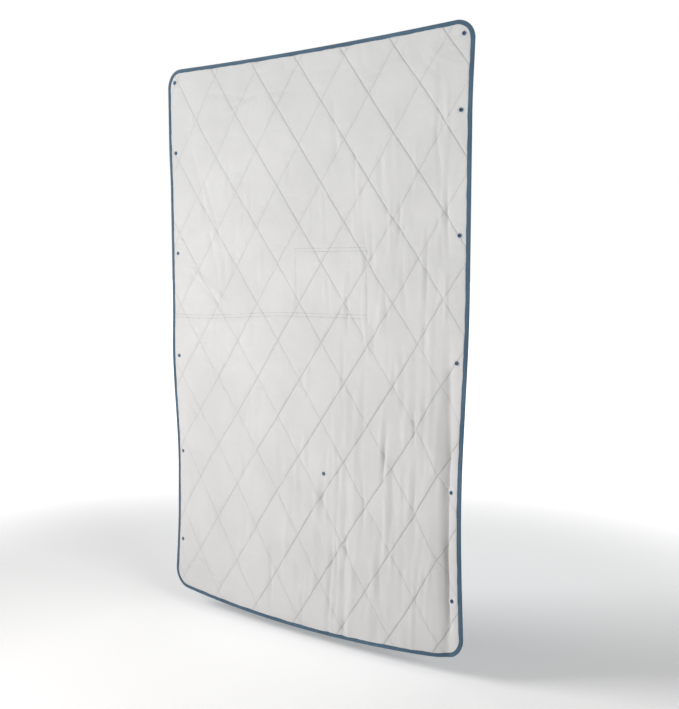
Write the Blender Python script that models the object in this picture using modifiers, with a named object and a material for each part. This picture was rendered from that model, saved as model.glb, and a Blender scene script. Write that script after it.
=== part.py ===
"""Quilted camp blanket, hung upright by its top edge.

Metres, +Z up. X runs across the blanket, the lining faces -Y and the shell
fabric faces +Y. The origin is the middle of the top edge, where it hangs.

Every cloth piece is first laid out flat, the way it is cut: x across, z down
from the top edge, and y through the thickness. drape() then moves its points
onto the hanging shape.
"""
import math

import bmesh
import bpy
from mathutils import Matrix, Vector
from mathutils.geometry import delaunay_2d_cdt

# ---- Driving dimensions ----------------------------------------------------
WIDTH = 1.27
LENGTH = 1.96
CORNER_RADIUS = 0.065
GAP = 0.0003                      # clearance left between touching pieces

LOFT = 0.008                      # thickness of the quilt between its seams
PRESSED = 0.004                   # thickness where it is sewn or snapped flat
CLOTH = 0.0005                    # thickness of a woven layer

BINDING_WIDTH = 0.013             # how far each leg of the binding reaches in
BINDING_CLOTH = 0.0008

SNAP_INSET = 0.035                # snap centre to the blanket's edge
SNAP_ROWS = (0.045, 0.28, 0.65, 1.04, 1.43, 1.775)    # down from the top edge
CENTRE_SNAP = (0.088, 1.43)       # across, and down from the top edge
SNAP_HOLE = 0.0030
SNAP_COLLAR = 0.0095              # radius pressed flat around a snap

POCKET_LEFT = -0.036
POCKET_RIGHT = 0.258
POCKET_TOP = 0.666                # the zip's centre line, down from the top edge
POCKET_BOTTOM = 0.887

SLIDER_LENGTH = 0.010
SLIDER_WIDTH = 0.009
SLIDER_PLATE = 0.0009
COIL_WIDTH = 0.0022
COIL_THICKNESS = 0.0018
COIL_SPLIT = 0.0008               # half the gap that the slider's web runs in
TAPE_WIDTH = 0.014
PULL_LENGTH = 0.024
PULL_THICKNESS = 0.0010
PULL_HALF_WIDTH = 0.0026
CROWN_HALF_LENGTH = 0.0032        # the slider's loop that holds the pull
CROWN_HALF_WIDTH = 0.0011
CROWN_RISE = 0.0016               # above the pull's hinge line
EYE_RADIUS = 0.0009
TAPE_INSET = 0.009                # the tapes end this far inside the pocket's sides
TAPE_FLAT = 0.0062                # the tape is level with the coil up to here,
TAPE_DOWN = 0.0082                # and down on the shell fabric from here
PANEL_HEM = 0.008
PANEL_BELOW_COIL = 0.007

# How the cloth hangs. A run is (start, end, softness) in metres down from the top edge.
TOP_SAG = 0.010                   # the top edge sags this much between corners
TOP_SAG_REACH = 0.50
BOTTOM_SAG = 0.038                # the middle of the bottom edge hangs this much lower
BOTTOM_SAG_START = 1.45
BOTTOM_SAG_REACH = 0.50
SIDE_SLIP = 0.020                 # the slack left side hangs this much lower, the right higher
SLIP_RIGHT = (0.27, 0.30)         # where it starts across, and over how far
SLIP_LEFT = (0.05, 0.45)
SLIP_TOP = 0.25
SLIP_FOOT = (1.06, 0.40)
BILLOW = 0.020                    # the lower middle stands this far forward
BILLOW_START = 1.0
BILLOW_CENTRE = -0.10
BILLOW_HALF_WIDTH = 0.80
FOLD_DEPTH = 0.018                # upright valley beside the right edge
FOLD_PLACE = 0.575
FOLD_HALF_WIDTH = 0.024
FOLD_RUN = (1.25, 1.84, 0.28)
ROLL_DEPTH = 0.012                # the left edge is rolled back this far
ROLL_WIDTH = 0.085
ROLL_ASIDE = 0.35                 # and comes in by this share of that
ROLL_RUN = (1.50, 1.63, 0.50)
UPPER_ROLL = 0.30                 # a smaller roll higher up
UPPER_ROLL_RUN = (0.42, 0.84, 0.18)
LEFT_PULL = 0.0095                # the slack lower left side comes in this much
LEFT_PULL_START = (0.42, 0.20)
RIGHT_PULL = 0.0075               # and the right side, from the top down
RIGHT_PULL_TOP = 0.30
RIGHT_LOWER_PULL = 0.0190         # with this much more at its fold
RIGHT_LOWER_RUN = (1.48, 1.48, 0.64)
RIGHT_PULL_START = (0.40, 0.20)


# ---- The hanging shape -----------------------------------------------------
def ease(t):
    """0 below t = 0, 1 above t = 1, and a smooth step between."""
    t = min(max(t, 0.0), 1.0)
    return t * t * (3.0 - 2.0 * t)


def stretch(down, start, end, soft):
    """1 between start and end, easing to 0 over `soft` on both sides."""
    return ease((down - start) / soft + 1.0) * (1.0 - ease((down - end) / soft))


def hang(x, z):
    """The quilt's middle surface at the flat point (x, z)."""
    down = -z
    across = 1.0 - (2.0 * x / WIDTH) ** 2
    billow = ease((down - BILLOW_START) / (LENGTH - BILLOW_START))
    billow *= 1.0 - ((x - BILLOW_CENTRE) / BILLOW_HALF_WIDTH) ** 2
    fold = math.exp(-((x - FOLD_PLACE) / FOLD_HALF_WIDTH) ** 2) * stretch(down, *FOLD_RUN)
    lower_roll = stretch(down, *ROLL_RUN)
    roll = lower_roll + UPPER_ROLL * stretch(down, *UPPER_ROLL_RUN)
    roll *= ease((-x - WIDTH / 2 + ROLL_WIDTH) / ROLL_WIDTH)
    left = LEFT_PULL * lower_roll * ease((-x - LEFT_PULL_START[0]) / LEFT_PULL_START[1])
    right = RIGHT_PULL * ease(down / RIGHT_PULL_TOP)
    right += RIGHT_LOWER_PULL * stretch(down, *RIGHT_LOWER_RUN)
    right *= ease((x - RIGHT_PULL_START[0]) / RIGHT_PULL_START[1])
    slip = ease((x - SLIP_RIGHT[0]) / SLIP_RIGHT[1]) - ease((-x - SLIP_LEFT[0]) / SLIP_LEFT[1])
    slip *= ease(down / SLIP_TOP) * (1.0 - ease((down - SLIP_FOOT[0]) / SLIP_FOOT[1]))
    sag = TOP_SAG * (across - 1.0) * (1.0 - ease(down / TOP_SAG_REACH))
    sag += BOTTOM_SAG * across * ease((down - BOTTOM_SAG_START) / BOTTOM_SAG_REACH)
    return Vector((
        x + left - right + ROLL_ASIDE * ROLL_DEPTH * roll,
        -BILLOW * billow + FOLD_DEPTH * fold + ROLL_DEPTH * roll,
        z - sag + SIDE_SLIP * slip,
    ))


def hang_slopes(x, z, step=0.002):
    """How the middle surface moves per metre across and per metre upwards."""
    across = (hang(x + step, z) - hang(x - step, z)) / (2.0 * step)
    upward = (hang(x, z + step) - hang(x, z - step)) / (2.0 * step)
    return across, upward


def hang_normal(x, z):
    """Unit normal of the middle surface, out of the shell fabric's side (+Y)."""
    across, upward = hang_slopes(x, z)
    return upward.cross(across).normalized()


def drape(mesh):
    """Move a flat mesh's points onto the hanging shape.

    The cloth that a snap grips stays flat, in the plane of the snap.
    """
    for vertex in mesh.vertices:
        x, through, z = vertex.co
        flat_x, flat_z = x, z
        for _, snap_x, snap_z in snap_places():
            if math.hypot(x - snap_x, z - snap_z) < 1.1 * SNAP_COLLAR:
                flat_x, flat_z = snap_x, snap_z
        across, upward = hang_slopes(flat_x, flat_z)
        vertex.co = (hang(flat_x, flat_z) + across * (x - flat_x) + upward * (z - flat_z)
                     + hang_normal(flat_x, flat_z) * through)


# ---- Scene helpers ---------------------------------------------------------
for leftover in list(bpy.data.objects):
    bpy.data.objects.remove(leftover, do_unlink=True)

blanket = bpy.data.collections.new("camp_blanket")
cutters = bpy.data.collections.new("cutters")
for group in (blanket, cutters):
    bpy.context.scene.collection.children.link(group)


def finish(name, color, roughness, metallic=0.0):
    """A plain Principled material."""
    material = bpy.data.materials.new(name)
    material.use_nodes = True
    shader = material.node_tree.nodes["Principled BSDF"]
    shader.inputs["Base Color"].default_value = (*color, 1.0)
    shader.inputs["Roughness"].default_value = roughness
    shader.inputs["Metallic"].default_value = metallic
    return material


LINING = finish("lining_cloth", (0.72, 0.71, 0.70), 0.75)
SHELL = finish("shell_cloth", (0.10, 0.19, 0.27), 0.60)
WADDING = finish("wadding", (0.90, 0.90, 0.90), 0.95)
BINDING = finish("binding_cloth", (0.10, 0.20, 0.29), 0.65)
SNAP_PLASTIC = finish("snap_plastic", (0.10, 0.15, 0.20), 0.35)
TAPE = finish("zip_tape", (0.06, 0.11, 0.16), 0.80)
COIL = finish("zip_coil", (0.05, 0.09, 0.13), 0.45)
ZINC = finish("zip_zinc", (0.55, 0.56, 0.58), 0.35, 1.0)


def add_object(name, mesh, material, collection=blanket):
    piece = bpy.data.objects.new(name, mesh)
    mesh.materials.clear()
    mesh.materials.append(material)
    collection.objects.link(piece)
    return piece


def mesh_from(work, name):
    """Turn a bmesh into a mesh whose faces point outwards."""
    bmesh.ops.recalc_face_normals(work, faces=work.faces)
    mesh = bpy.data.meshes.new(name)
    work.to_mesh(mesh)
    work.free()
    return mesh


def block_mesh(name, low, high):
    """A box from its lowest and highest corners."""
    low, high = Vector(low), Vector(high)
    work = bmesh.new()
    bmesh.ops.create_cube(work, size=1.0)
    bmesh.ops.scale(work, vec=high - low, verts=work.verts)
    bmesh.ops.translate(work, vec=(low + high) / 2, verts=work.verts)
    return mesh_from(work, name)


def combine(piece, name, mesh, operation):
    """Add or cut a mesh with a Boolean, and keep the modifier."""
    tool = add_object(name, mesh, ZINC, cutters)
    tool.hide_render = True
    tool.display_type = "WIRE"
    step = piece.modifiers.new(name, "BOOLEAN")
    step.operation = operation
    step.solver = "EXACT"
    step.object = tool


# ---- The flat pattern ------------------------------------------------------
def outline(inset, along=0.085, arc_steps=4):
    """Rounded rectangle, `inset` in from the edge, as flat (x, z) points."""
    centre_x = WIDTH / 2 - CORNER_RADIUS
    centre_down = CORNER_RADIUS
    radius = CORNER_RADIUS - inset
    corners = (
        (centre_x, -centre_down, 0.0),
        (-centre_x, -centre_down, 90.0),
        (-centre_x, centre_down - LENGTH, 180.0),
        (centre_x, centre_down - LENGTH, 270.0),
    )
    points = []
    for index, (x, z, start) in enumerate(corners):
        for step in range(arc_steps + 1):
            angle = math.radians(start + 90.0 * step / arc_steps)
            points.append((x + radius * math.cos(angle), z + radius * math.sin(angle)))
        next_x, next_z, next_start = corners[(index + 1) % 4]
        angle = math.radians(next_start)
        run_start = Vector(points[-1])
        run_end = Vector((next_x + radius * math.cos(angle), next_z + radius * math.sin(angle)))
        pieces = round((run_end - run_start).length / along)
        for step in range(1, pieces):
            points.append(tuple(run_start.lerp(run_end, step / pieces)))
    return points


def snap_places():
    """Name, flat x and flat z of every snap."""
    places = []
    for side, x in (("left", SNAP_INSET - WIDTH / 2), ("right", WIDTH / 2 - SNAP_INSET)):
        for row, down in enumerate(SNAP_ROWS, start=1):
            places.append((f"{side}_{row}", x, -down))
    places.append(("centre", CENTRE_SNAP[0], -CENTRE_SNAP[1]))
    return places


def inset_of(x, z):
    """How far a flat point lies inside the rounded edge."""
    past_x = max(abs(x) - (WIDTH / 2 - CORNER_RADIUS), 0.0)
    past_z = max(abs(z + LENGTH / 2) - (LENGTH / 2 - CORNER_RADIUS), 0.0)
    if past_x > 0.0 or past_z > 0.0:
        return CORNER_RADIUS - math.hypot(past_x, past_z)
    return CORNER_RADIUS


def ring(x, z, radius, sides=8):
    """A circle of flat points."""
    angles = [2 * math.pi * k / sides for k in range(sides)]
    return [(x + radius * math.cos(angle), z + radius * math.sin(angle)) for angle in angles]


# Where the cloth may bend: closer together at the folds.
COLUMNS = (-0.58, -0.55, -0.50, -0.42, -0.28, -0.14, 0.0, 0.14, 0.28, 0.42, 0.50, 0.545, 0.575)
ROWS = (0.06, 0.16, 0.34, 0.46, 0.58, 0.74, 0.90, 1.00, 1.10, 1.20, 1.29, 1.36, 1.50, 1.60,
        1.70, 1.84, 1.91)


def cut_pattern():
    """Triangulate the flat pattern once, so that every layer folds alike.

    The first points are the edge, the next ones the line where the binding
    ends, and then come the collars, the snap holes and the inner points.
    """
    edge = outline(0.0)
    inner = outline(BINDING_WIDTH)
    points = []
    seams = []

    def add_loop(loop):
        first = len(points)
        points.extend(Vector(point) for point in loop)
        count = len(loop)
        seams.extend((first + k, first + (k + 1) % count) for k in range(count))

    add_loop(edge)
    add_loop(inner)
    for _, x, z in snap_places():
        add_loop(ring(x, z, SNAP_COLLAR))
        add_loop(ring(x, z, SNAP_HOLE))
    for x in COLUMNS:
        for down in ROWS:
            nearest = min(math.hypot(x - sx, -down - sz) for _, sx, sz in snap_places())
            if nearest > 2.0 * SNAP_COLLAR:
                points.append(Vector((x, -down)))
    verts, _, faces, origins, _, _ = delaunay_2d_cdt(points, seams, [], 1, 1e-7)
    index_of = {}
    for new, old in enumerate(origins):
        index_of[new] = old[0]
    kept = []
    for face in faces:
        middle = sum((verts[v] for v in face), Vector((0.0, 0.0))) / len(face)
        if any(math.hypot(middle.x - x, middle.y - z) < 0.7 * SNAP_HOLE for _, x, z in snap_places()):
            continue
        if inset_of(middle.x, middle.y) < 0.0001:
            continue
        kept.append(tuple(index_of[v] for v in face))
    return points, kept, len(edge)


POINTS, TRIANGLES, EDGE_COUNT = cut_pattern()


def half_loft(x, z):
    """Half the quilt's thickness at a flat point: pressed at edges and snaps."""
    near_snap = min(math.hypot(x - sx, z - sz) for _, sx, sz in snap_places())
    if inset_of(x, z) < 1.2 * BINDING_WIDTH or near_snap < 1.1 * SNAP_COLLAR:
        return PRESSED / 2
    return LOFT / 2


# ---- Cloth layers ----------------------------------------------------------
def layer(name, low_side, low_depth, high_side, high_depth, material):
    """A cloth or wadding layer between two depths under the quilt's surfaces.

    A side of -1 is the lining's surface and +1 the shell fabric's.
    """
    work = bmesh.new()
    verts = [work.verts.new((p.x, low_side * (half_loft(p.x, p.y) - low_depth), p.y)) for p in POINTS]
    for face in TRIANGLES:
        work.faces.new([verts[k] for k in face])
    raised = bmesh.ops.extrude_face_region(work, geom=list(work.faces), use_keep_orig=True)
    for item in raised["geom"]:
        if isinstance(item, bmesh.types.BMVert):
            x, _, z = item.co
            item.co.y = high_side * (half_loft(x, z) - high_depth)
    loose = [v for v in work.verts if not v.link_faces]
    bmesh.ops.delete(work, geom=loose, context="VERTS")
    mesh = mesh_from(work, name)
    drape(mesh)
    return add_object(name, mesh, material)


def edge_binding():
    """U-section strip folded over the quilt's edge, thickened by Solidify."""
    reach = PRESSED / 2 + GAP
    ring_faces = [f for f in TRIANGLES if max(f) < 2 * EDGE_COUNT and min(f) < EDGE_COUNT]
    grown = outline(-GAP)
    work = bmesh.new()
    wall_edges = []
    for through in (-reach, reach):
        verts = {}
        for k in sorted({k for face in ring_faces for k in face}):
            x, z = grown[k] if k < EDGE_COUNT else POINTS[k]
            verts[k] = work.verts.new((x, through, z))
        for face in ring_faces:
            order = face if through < 0.0 else tuple(reversed(face))
            work.faces.new([verts[k] for k in order])
        for k in range(EDGE_COUNT):
            wall_edges.append(work.edges.get((verts[k], verts[(k + 1) % EDGE_COUNT])))
    bmesh.ops.bridge_loops(work, edges=wall_edges)
    mesh = mesh_from(work, "binding_fold")
    strip = add_object("binding_fold", mesh, BINDING)
    wall = strip.modifiers.new("cloth_thickness", "SOLIDIFY")
    wall.thickness = BINDING_CLOTH
    wall.offset = 1.0
    wall.use_even_offset = True
    bpy.context.view_layer.update()
    graph = bpy.context.evaluated_depsgraph_get()
    mesh = bpy.data.meshes.new_from_object(strip.evaluated_get(graph))
    bpy.data.objects.remove(strip, do_unlink=True)
    drape(mesh)
    return add_object("edge_binding", mesh, BINDING)


def quilt():
    layer("lining_fabric", -1, 0.0, -1, CLOTH, LINING)
    layer("insulation_batting", -1, CLOTH + GAP, 1, CLOTH + GAP, WADDING)
    layer("shell_fabric", 1, CLOTH, 1, 0.0, SHELL)
    edge_binding()


# ---- Snaps -----------------------------------------------------------------
SEAT = PRESSED / 2 + GAP          # where a snap half meets the cloth

CAP_PROFILE = (                   # cap, post and the head its tip is pressed to
    (0.0, SEAT + 0.0018), (0.0052, SEAT + 0.0018), (0.0070, SEAT + 0.0008), (0.0070, SEAT),
    (0.0016, SEAT), (0.0016, -SEAT - 0.0013), (0.0026, -SEAT - 0.0013), (0.0026, -SEAT - 0.0018),
    (0.0, -SEAT - 0.0018),
)
STUD_PROFILE = (                  # flange with the raised ring that clicks in
    (0.0020, -SEAT), (0.0060, -SEAT), (0.0060, -SEAT - 0.0009), (0.0041, -SEAT - 0.0012),
    (0.0037, -SEAT - 0.0022), (0.0041, -SEAT - 0.0034), (0.0032, -SEAT - 0.0038),
    (0.0032, -SEAT - 0.0009), (0.0020, -SEAT - 0.0009),
)
SOCKET_PROFILE = (                # flange with the cup that takes the stud
    (0.0020, -SEAT), (0.0062, -SEAT), (0.0062, -SEAT - 0.0030), (0.0055, -SEAT - 0.0037),
    (0.0041, -SEAT - 0.0037), (0.0046, -SEAT - 0.0026), (0.0046, -SEAT - 0.0009),
    (0.0020, -SEAT - 0.0009),
)


def turned_mesh(name, profile, closed, sides=10):
    """Turn a profile of (radius, height) points about its own Z axis."""
    mesh = bpy.data.meshes.new(name)
    count = len(profile)
    edges = [(k, (k + 1) % count) for k in range(count if closed else count - 1)]
    mesh.from_pydata([(radius, 0.0, height) for radius, height in profile], edges, [])
    shape = bpy.data.objects.new(name, mesh)
    cutters.objects.link(shape)
    turn = shape.modifiers.new("turn", "SCREW")
    turn.steps = sides
    turn.render_steps = sides
    turn.use_merge_vertices = True
    turn.merge_threshold = 0.00001
    bpy.context.view_layer.update()
    graph = bpy.context.evaluated_depsgraph_get()
    turned = bpy.data.meshes.new_from_object(shape.evaluated_get(graph))
    bpy.data.objects.remove(shape, do_unlink=True)
    work = bmesh.new()
    work.from_mesh(turned)
    bmesh.ops.remove_doubles(work, verts=work.verts, dist=0.00001)
    turned = mesh_from(work, name)
    turned.shade_smooth()
    turned.set_sharp_from_angle(angle=math.radians(35))
    return turned


def seat_snap(piece, x, z, cap_on_lining):
    """Stand a snap half in its hole, its cap end towards the cap's side."""
    outward = hang_normal(x, z)
    if cap_on_lining:
        outward = -outward
    turn = outward.to_track_quat("Z", "Y").to_matrix().to_4x4()
    piece.matrix_world = Matrix.Translation(hang(x, z)) @ turn


def snaps():
    cap = turned_mesh("cap", CAP_PROFILE, closed=False)
    stud = turned_mesh("stud", STUD_PROFILE, closed=True)
    socket = turned_mesh("socket", SOCKET_PROFILE, closed=True)
    for name, x, z in snap_places():
        cap_on_lining = not name.startswith("right")
        half_name, half = ("stud", stud) if cap_on_lining else ("socket", socket)
        seat_snap(add_object(f"snap_cap_{name}", cap, SNAP_PLASTIC), x, z, cap_on_lining)
        seat_snap(add_object(f"snap_{half_name}_{name}", half, SNAP_PLASTIC), x, z, cap_on_lining)


# ---- Stuff pocket with its zip, on the shell side --------------------------
FACE = LOFT / 2                                   # the shell fabric's surface
RUNNER_BACK = FACE + GAP                          # slider's plate under the coils
COIL_BACK = RUNNER_BACK + SLIDER_PLATE + GAP
COIL_FRONT = COIL_BACK + COIL_THICKNESS
RUNNER_FRONT = COIL_FRONT + GAP + SLIDER_PLATE
PULL_AXIS = RUNNER_FRONT + 0.0010                 # hinge line of the pull tab
STOP_LENGTH = 0.003
ZIP_LEFT = POCKET_LEFT + STOP_LENGTH + GAP
ZIP_RIGHT = POCKET_RIGHT - STOP_LENGTH - GAP
SLIDER_REST = ZIP_RIGHT - SLIDER_LENGTH / 2 - GAP
PANEL_LIFT = FACE + 2 * GAP + CLOTH               # the panel lies over the zip tape


def pocket_panel():
    """Fabric panel whose sides and foot are sewn down to the shell."""
    top = -POCKET_TOP - COIL_SPLIT - COIL_WIDTH - PANEL_BELOW_COIL
    bottom = -POCKET_BOTTOM
    work = bmesh.new()
    bmesh.ops.create_grid(work, x_segments=3, y_segments=3, size=0.5)
    columns = (POCKET_LEFT, POCKET_LEFT + PANEL_HEM, POCKET_RIGHT - PANEL_HEM, POCKET_RIGHT)
    rows = (bottom, bottom + PANEL_HEM, top - PANEL_HEM, top)
    for vert in work.verts:
        column = round((vert.co.x + 0.5) * 3)
        row = round((vert.co.y + 0.5) * 3)
        sewn_down = column in (0, 3) or row == 0
        vert.co = (columns[column], FACE + GAP if sewn_down else PANEL_LIFT, rows[row])
    raised = bmesh.ops.extrude_face_region(work, geom=list(work.faces), use_keep_orig=True)
    for item in raised["geom"]:
        if isinstance(item, bmesh.types.BMVert):
            item.co.y += CLOTH
    return add_object("pocket_panel", mesh_from(work, "pocket_panel"), SHELL)


def strip_mesh(name, outline_yz, left, right):
    """Extrude a (y, z) outline along X."""
    work = bmesh.new()
    face = work.faces.new([work.verts.new((left, y, z)) for y, z in outline_yz])
    pushed = bmesh.ops.extrude_face_region(work, geom=[face], use_keep_orig=True)
    verts = [item for item in pushed["geom"] if isinstance(item, bmesh.types.BMVert)]
    bmesh.ops.translate(work, vec=(right - left, 0.0, 0.0), verts=verts)
    return mesh_from(work, name)


def zip_tapes_and_coils():
    """Each half: a tape that steps down to the shell, and the coil at its edge."""
    level = (COIL_BACK + COIL_FRONT) / 2
    sewn = FACE + GAP + CLOTH / 2
    tape_left = POCKET_LEFT + TAPE_INSET
    tape_right = POCKET_RIGHT - TAPE_INSET
    inner = COIL_SPLIT + COIL_WIDTH + GAP
    steps = ((inner, level), (TAPE_FLAT, level), (TAPE_DOWN, sewn), (TAPE_WIDTH, sewn))
    for name, side in (("upper", 1.0), ("lower", -1.0)):
        front = [(y + CLOTH / 2, side * away - POCKET_TOP) for away, y in steps]
        back = [(y - CLOTH / 2, side * away - POCKET_TOP) for away, y in reversed(steps)]
        tape = strip_mesh("tape", front + back, tape_left, tape_right)
        add_object(f"zip_tape_{name}", tape, TAPE)
        near = side * COIL_SPLIT - POCKET_TOP
        far = side * (COIL_SPLIT + COIL_WIDTH) - POCKET_TOP
        low = (ZIP_LEFT, COIL_BACK, min(near, far))
        high = (ZIP_RIGHT, COIL_FRONT, max(near, far))
        bar = add_object(f"zip_coil_{name}", block_mesh("coil", low, high), COIL)
        soften = bar.modifiers.new("round", "BEVEL")
        soften.width = 0.0004
        soften.segments = 1
    for name, left in (("closed_end", ZIP_RIGHT + GAP), ("open_end", POCKET_LEFT)):
        half = COIL_SPLIT + COIL_WIDTH
        low = (left, COIL_BACK, -POCKET_TOP - half)
        high = (left + STOP_LENGTH, COIL_FRONT, -POCKET_TOP + half)
        add_object(f"zip_stop_{name}", block_mesh("stop", low, high), ZINC)


def zip_slider():
    """Two plates joined by a thin web between the coils, with a crown on top."""
    half_x = SLIDER_LENGTH / 2
    half_z = SLIDER_WIDTH / 2
    body = add_object("zip_slider", block_mesh(
        "slider", (-half_x, RUNNER_BACK, -half_z), (half_x, RUNNER_FRONT, half_z)), ZINC)
    web = COIL_SPLIT - GAP
    for side, name in ((1, "upper_channel"), (-1, "lower_channel")):
        near, far = side * web, side * (half_z + 0.001)
        combine(body, name, block_mesh(
            name,
            (-half_x - 0.001, COIL_BACK - GAP, min(near, far)),
            (half_x + 0.001, COIL_FRONT + GAP, max(near, far))), "DIFFERENCE")
    combine(body, "crown", block_mesh(
        "crown",
        (-CROWN_HALF_LENGTH, RUNNER_FRONT - GAP, -CROWN_HALF_WIDTH),
        (CROWN_HALF_LENGTH, PULL_AXIS + CROWN_RISE, CROWN_HALF_WIDTH)), "UNION")
    eye = bmesh.new()
    bmesh.ops.create_cone(
        eye, cap_ends=True, segments=12, radius1=EYE_RADIUS, radius2=EYE_RADIUS, depth=0.004)
    bmesh.ops.translate(eye, vec=(0.0, PULL_AXIS, 0.0), verts=eye.verts)
    combine(body, "pull_eye", mesh_from(eye, "eye"), "DIFFERENCE")
    return body


def zip_pull():
    """Tab whose end bar runs through the slider's crown; it lies along -X."""
    half = PULL_THICKNESS / 2
    tab = add_object("zip_pull", block_mesh(
        "pull", (-PULL_LENGTH, -half, -PULL_HALF_WIDTH), (half, half, PULL_HALF_WIDTH)), ZINC)
    combine(tab, "pull_window", block_mesh(
        "window", (-0.0039, -0.002, -0.0016), (-half, 0.002, 0.0016)), "DIFFERENCE")
    combine(tab, "grip_window", block_mesh(
        "grip", (-PULL_LENGTH + 0.003, -0.002, -0.0010), (-0.008, 0.002, 0.0010)), "DIFFERENCE")
    return tab


def pocket():
    pocket_panel()
    zip_tapes_and_coils()
    runner = bpy.data.objects.new("runner_origin", None)
    blanket.objects.link(runner)
    runner.location = (SLIDER_REST, 0.0, -POCKET_TOP)
    hinge = bpy.data.objects.new("pull_hinge_origin", None)
    blanket.objects.link(hinge)
    hinge.parent = runner
    hinge.location = (0.0, PULL_AXIS, 0.0)
    slider = zip_slider()
    slider.parent = runner
    for tool in cutters.objects:
        if tool.name in ("upper_channel", "lower_channel", "crown", "pull_eye"):
            tool.parent = runner
    tab = zip_pull()
    tab.parent = hinge
    for tool in cutters.objects:
        if tool.name in ("pull_window", "grip_window"):
            tool.parent = hinge


quilt()
snaps()
pocket()
bpy.context.view_layer.update()
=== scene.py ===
# %% [markdown]
# # A quilted camp blanket, hung up by its top edge
# The blanket is two cloths with wadding between them, sewn through in a diamond grid and bound
# round the edge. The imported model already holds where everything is; this script gives each
# piece its cloth, thread and plastic. Everything is in metres, +Z is up, and the light lining
# faces -Y.

import math

import bmesh
import bpy
import numpy as np
from mathutils import Matrix, Vector


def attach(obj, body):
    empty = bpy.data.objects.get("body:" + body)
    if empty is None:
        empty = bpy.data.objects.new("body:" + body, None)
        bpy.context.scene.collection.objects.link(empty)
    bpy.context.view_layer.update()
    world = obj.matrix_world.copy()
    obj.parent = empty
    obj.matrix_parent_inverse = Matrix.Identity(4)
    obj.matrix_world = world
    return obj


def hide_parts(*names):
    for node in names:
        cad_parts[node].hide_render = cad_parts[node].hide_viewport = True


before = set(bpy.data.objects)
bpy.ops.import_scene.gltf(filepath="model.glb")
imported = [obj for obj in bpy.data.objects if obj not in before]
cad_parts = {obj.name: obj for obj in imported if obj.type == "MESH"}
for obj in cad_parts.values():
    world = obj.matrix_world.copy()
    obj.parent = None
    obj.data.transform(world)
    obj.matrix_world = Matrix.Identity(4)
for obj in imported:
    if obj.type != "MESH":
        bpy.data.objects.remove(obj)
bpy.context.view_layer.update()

# %% [markdown]
# ## The hanging shape
# Cloth is easiest to describe flat, the way it is cut, and then hung. `hang` takes a flat point
# (x across, z down from the top edge) to its place on the middle of the hanging quilt. The same
# rule shaped the frame, so a piece laid out with it lands on the frame with no fitting.

# %% Flat sizes and the hanging rule
WIDTH = 1.27
LENGTH = 1.96
CORNER_RADIUS = 0.065
PRESSED = 0.004                   # thickness at the edge and round the snaps
BINDING_WIDTH = 0.013
SNAP_INSET = 0.035
SNAP_ROWS = (0.045, 0.28, 0.65, 1.04, 1.43, 1.775)
CENTRE_SNAP = (0.088, -1.43)

# How the cloth hangs. A run is (start, end, softness) in metres down from the top edge.
TOP_SAG = 0.010                   # the top edge sags this much between corners
TOP_SAG_REACH = 0.50
BOTTOM_SAG = 0.038                # the middle of the bottom edge hangs this much lower
BOTTOM_SAG_START = 1.45
BOTTOM_SAG_REACH = 0.50
SIDE_SLIP = 0.020                 # the slack left side hangs this much lower, the right higher
SLIP_RIGHT = (0.27, 0.30)         # where it starts across, and over how far
SLIP_LEFT = (0.05, 0.45)
SLIP_TOP = 0.25
SLIP_FOOT = (1.06, 0.40)
BILLOW = 0.020                    # the lower middle stands this far forward
BILLOW_START = 1.0
BILLOW_CENTRE = -0.10
BILLOW_HALF_WIDTH = 0.80
FOLD_DEPTH = 0.018                # upright valley beside the right edge
FOLD_PLACE = 0.575
FOLD_HALF_WIDTH = 0.024
FOLD_RUN = (1.25, 1.84, 0.28)
ROLL_DEPTH = 0.012                # the left edge is rolled back this far
ROLL_WIDTH = 0.085
ROLL_ASIDE = 0.35                 # and comes in by this share of that
ROLL_RUN = (1.50, 1.63, 0.50)
UPPER_ROLL = 0.30                 # a smaller roll higher up
UPPER_ROLL_RUN = (0.42, 0.84, 0.18)
LEFT_PULL = 0.0095                # the slack lower left side comes in this much
LEFT_PULL_START = (0.42, 0.20)
RIGHT_PULL = 0.0075               # and the right side, from the top down
RIGHT_PULL_TOP = 0.30
RIGHT_LOWER_PULL = 0.0190         # with this much more at its fold
RIGHT_LOWER_RUN = (1.48, 1.48, 0.64)
RIGHT_PULL_START = (0.40, 0.20)


def ease(t):
    """0 below t = 0, 1 above t = 1, and a smooth step between."""
    t = np.clip(t, 0.0, 1.0)
    return t * t * (3.0 - 2.0 * t)


def stretch(down, start, end, soft):
    """1 between start and end, easing to 0 over `soft` on both sides."""
    return ease((down - start) / soft + 1.0) * (1.0 - ease((down - end) / soft))


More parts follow.
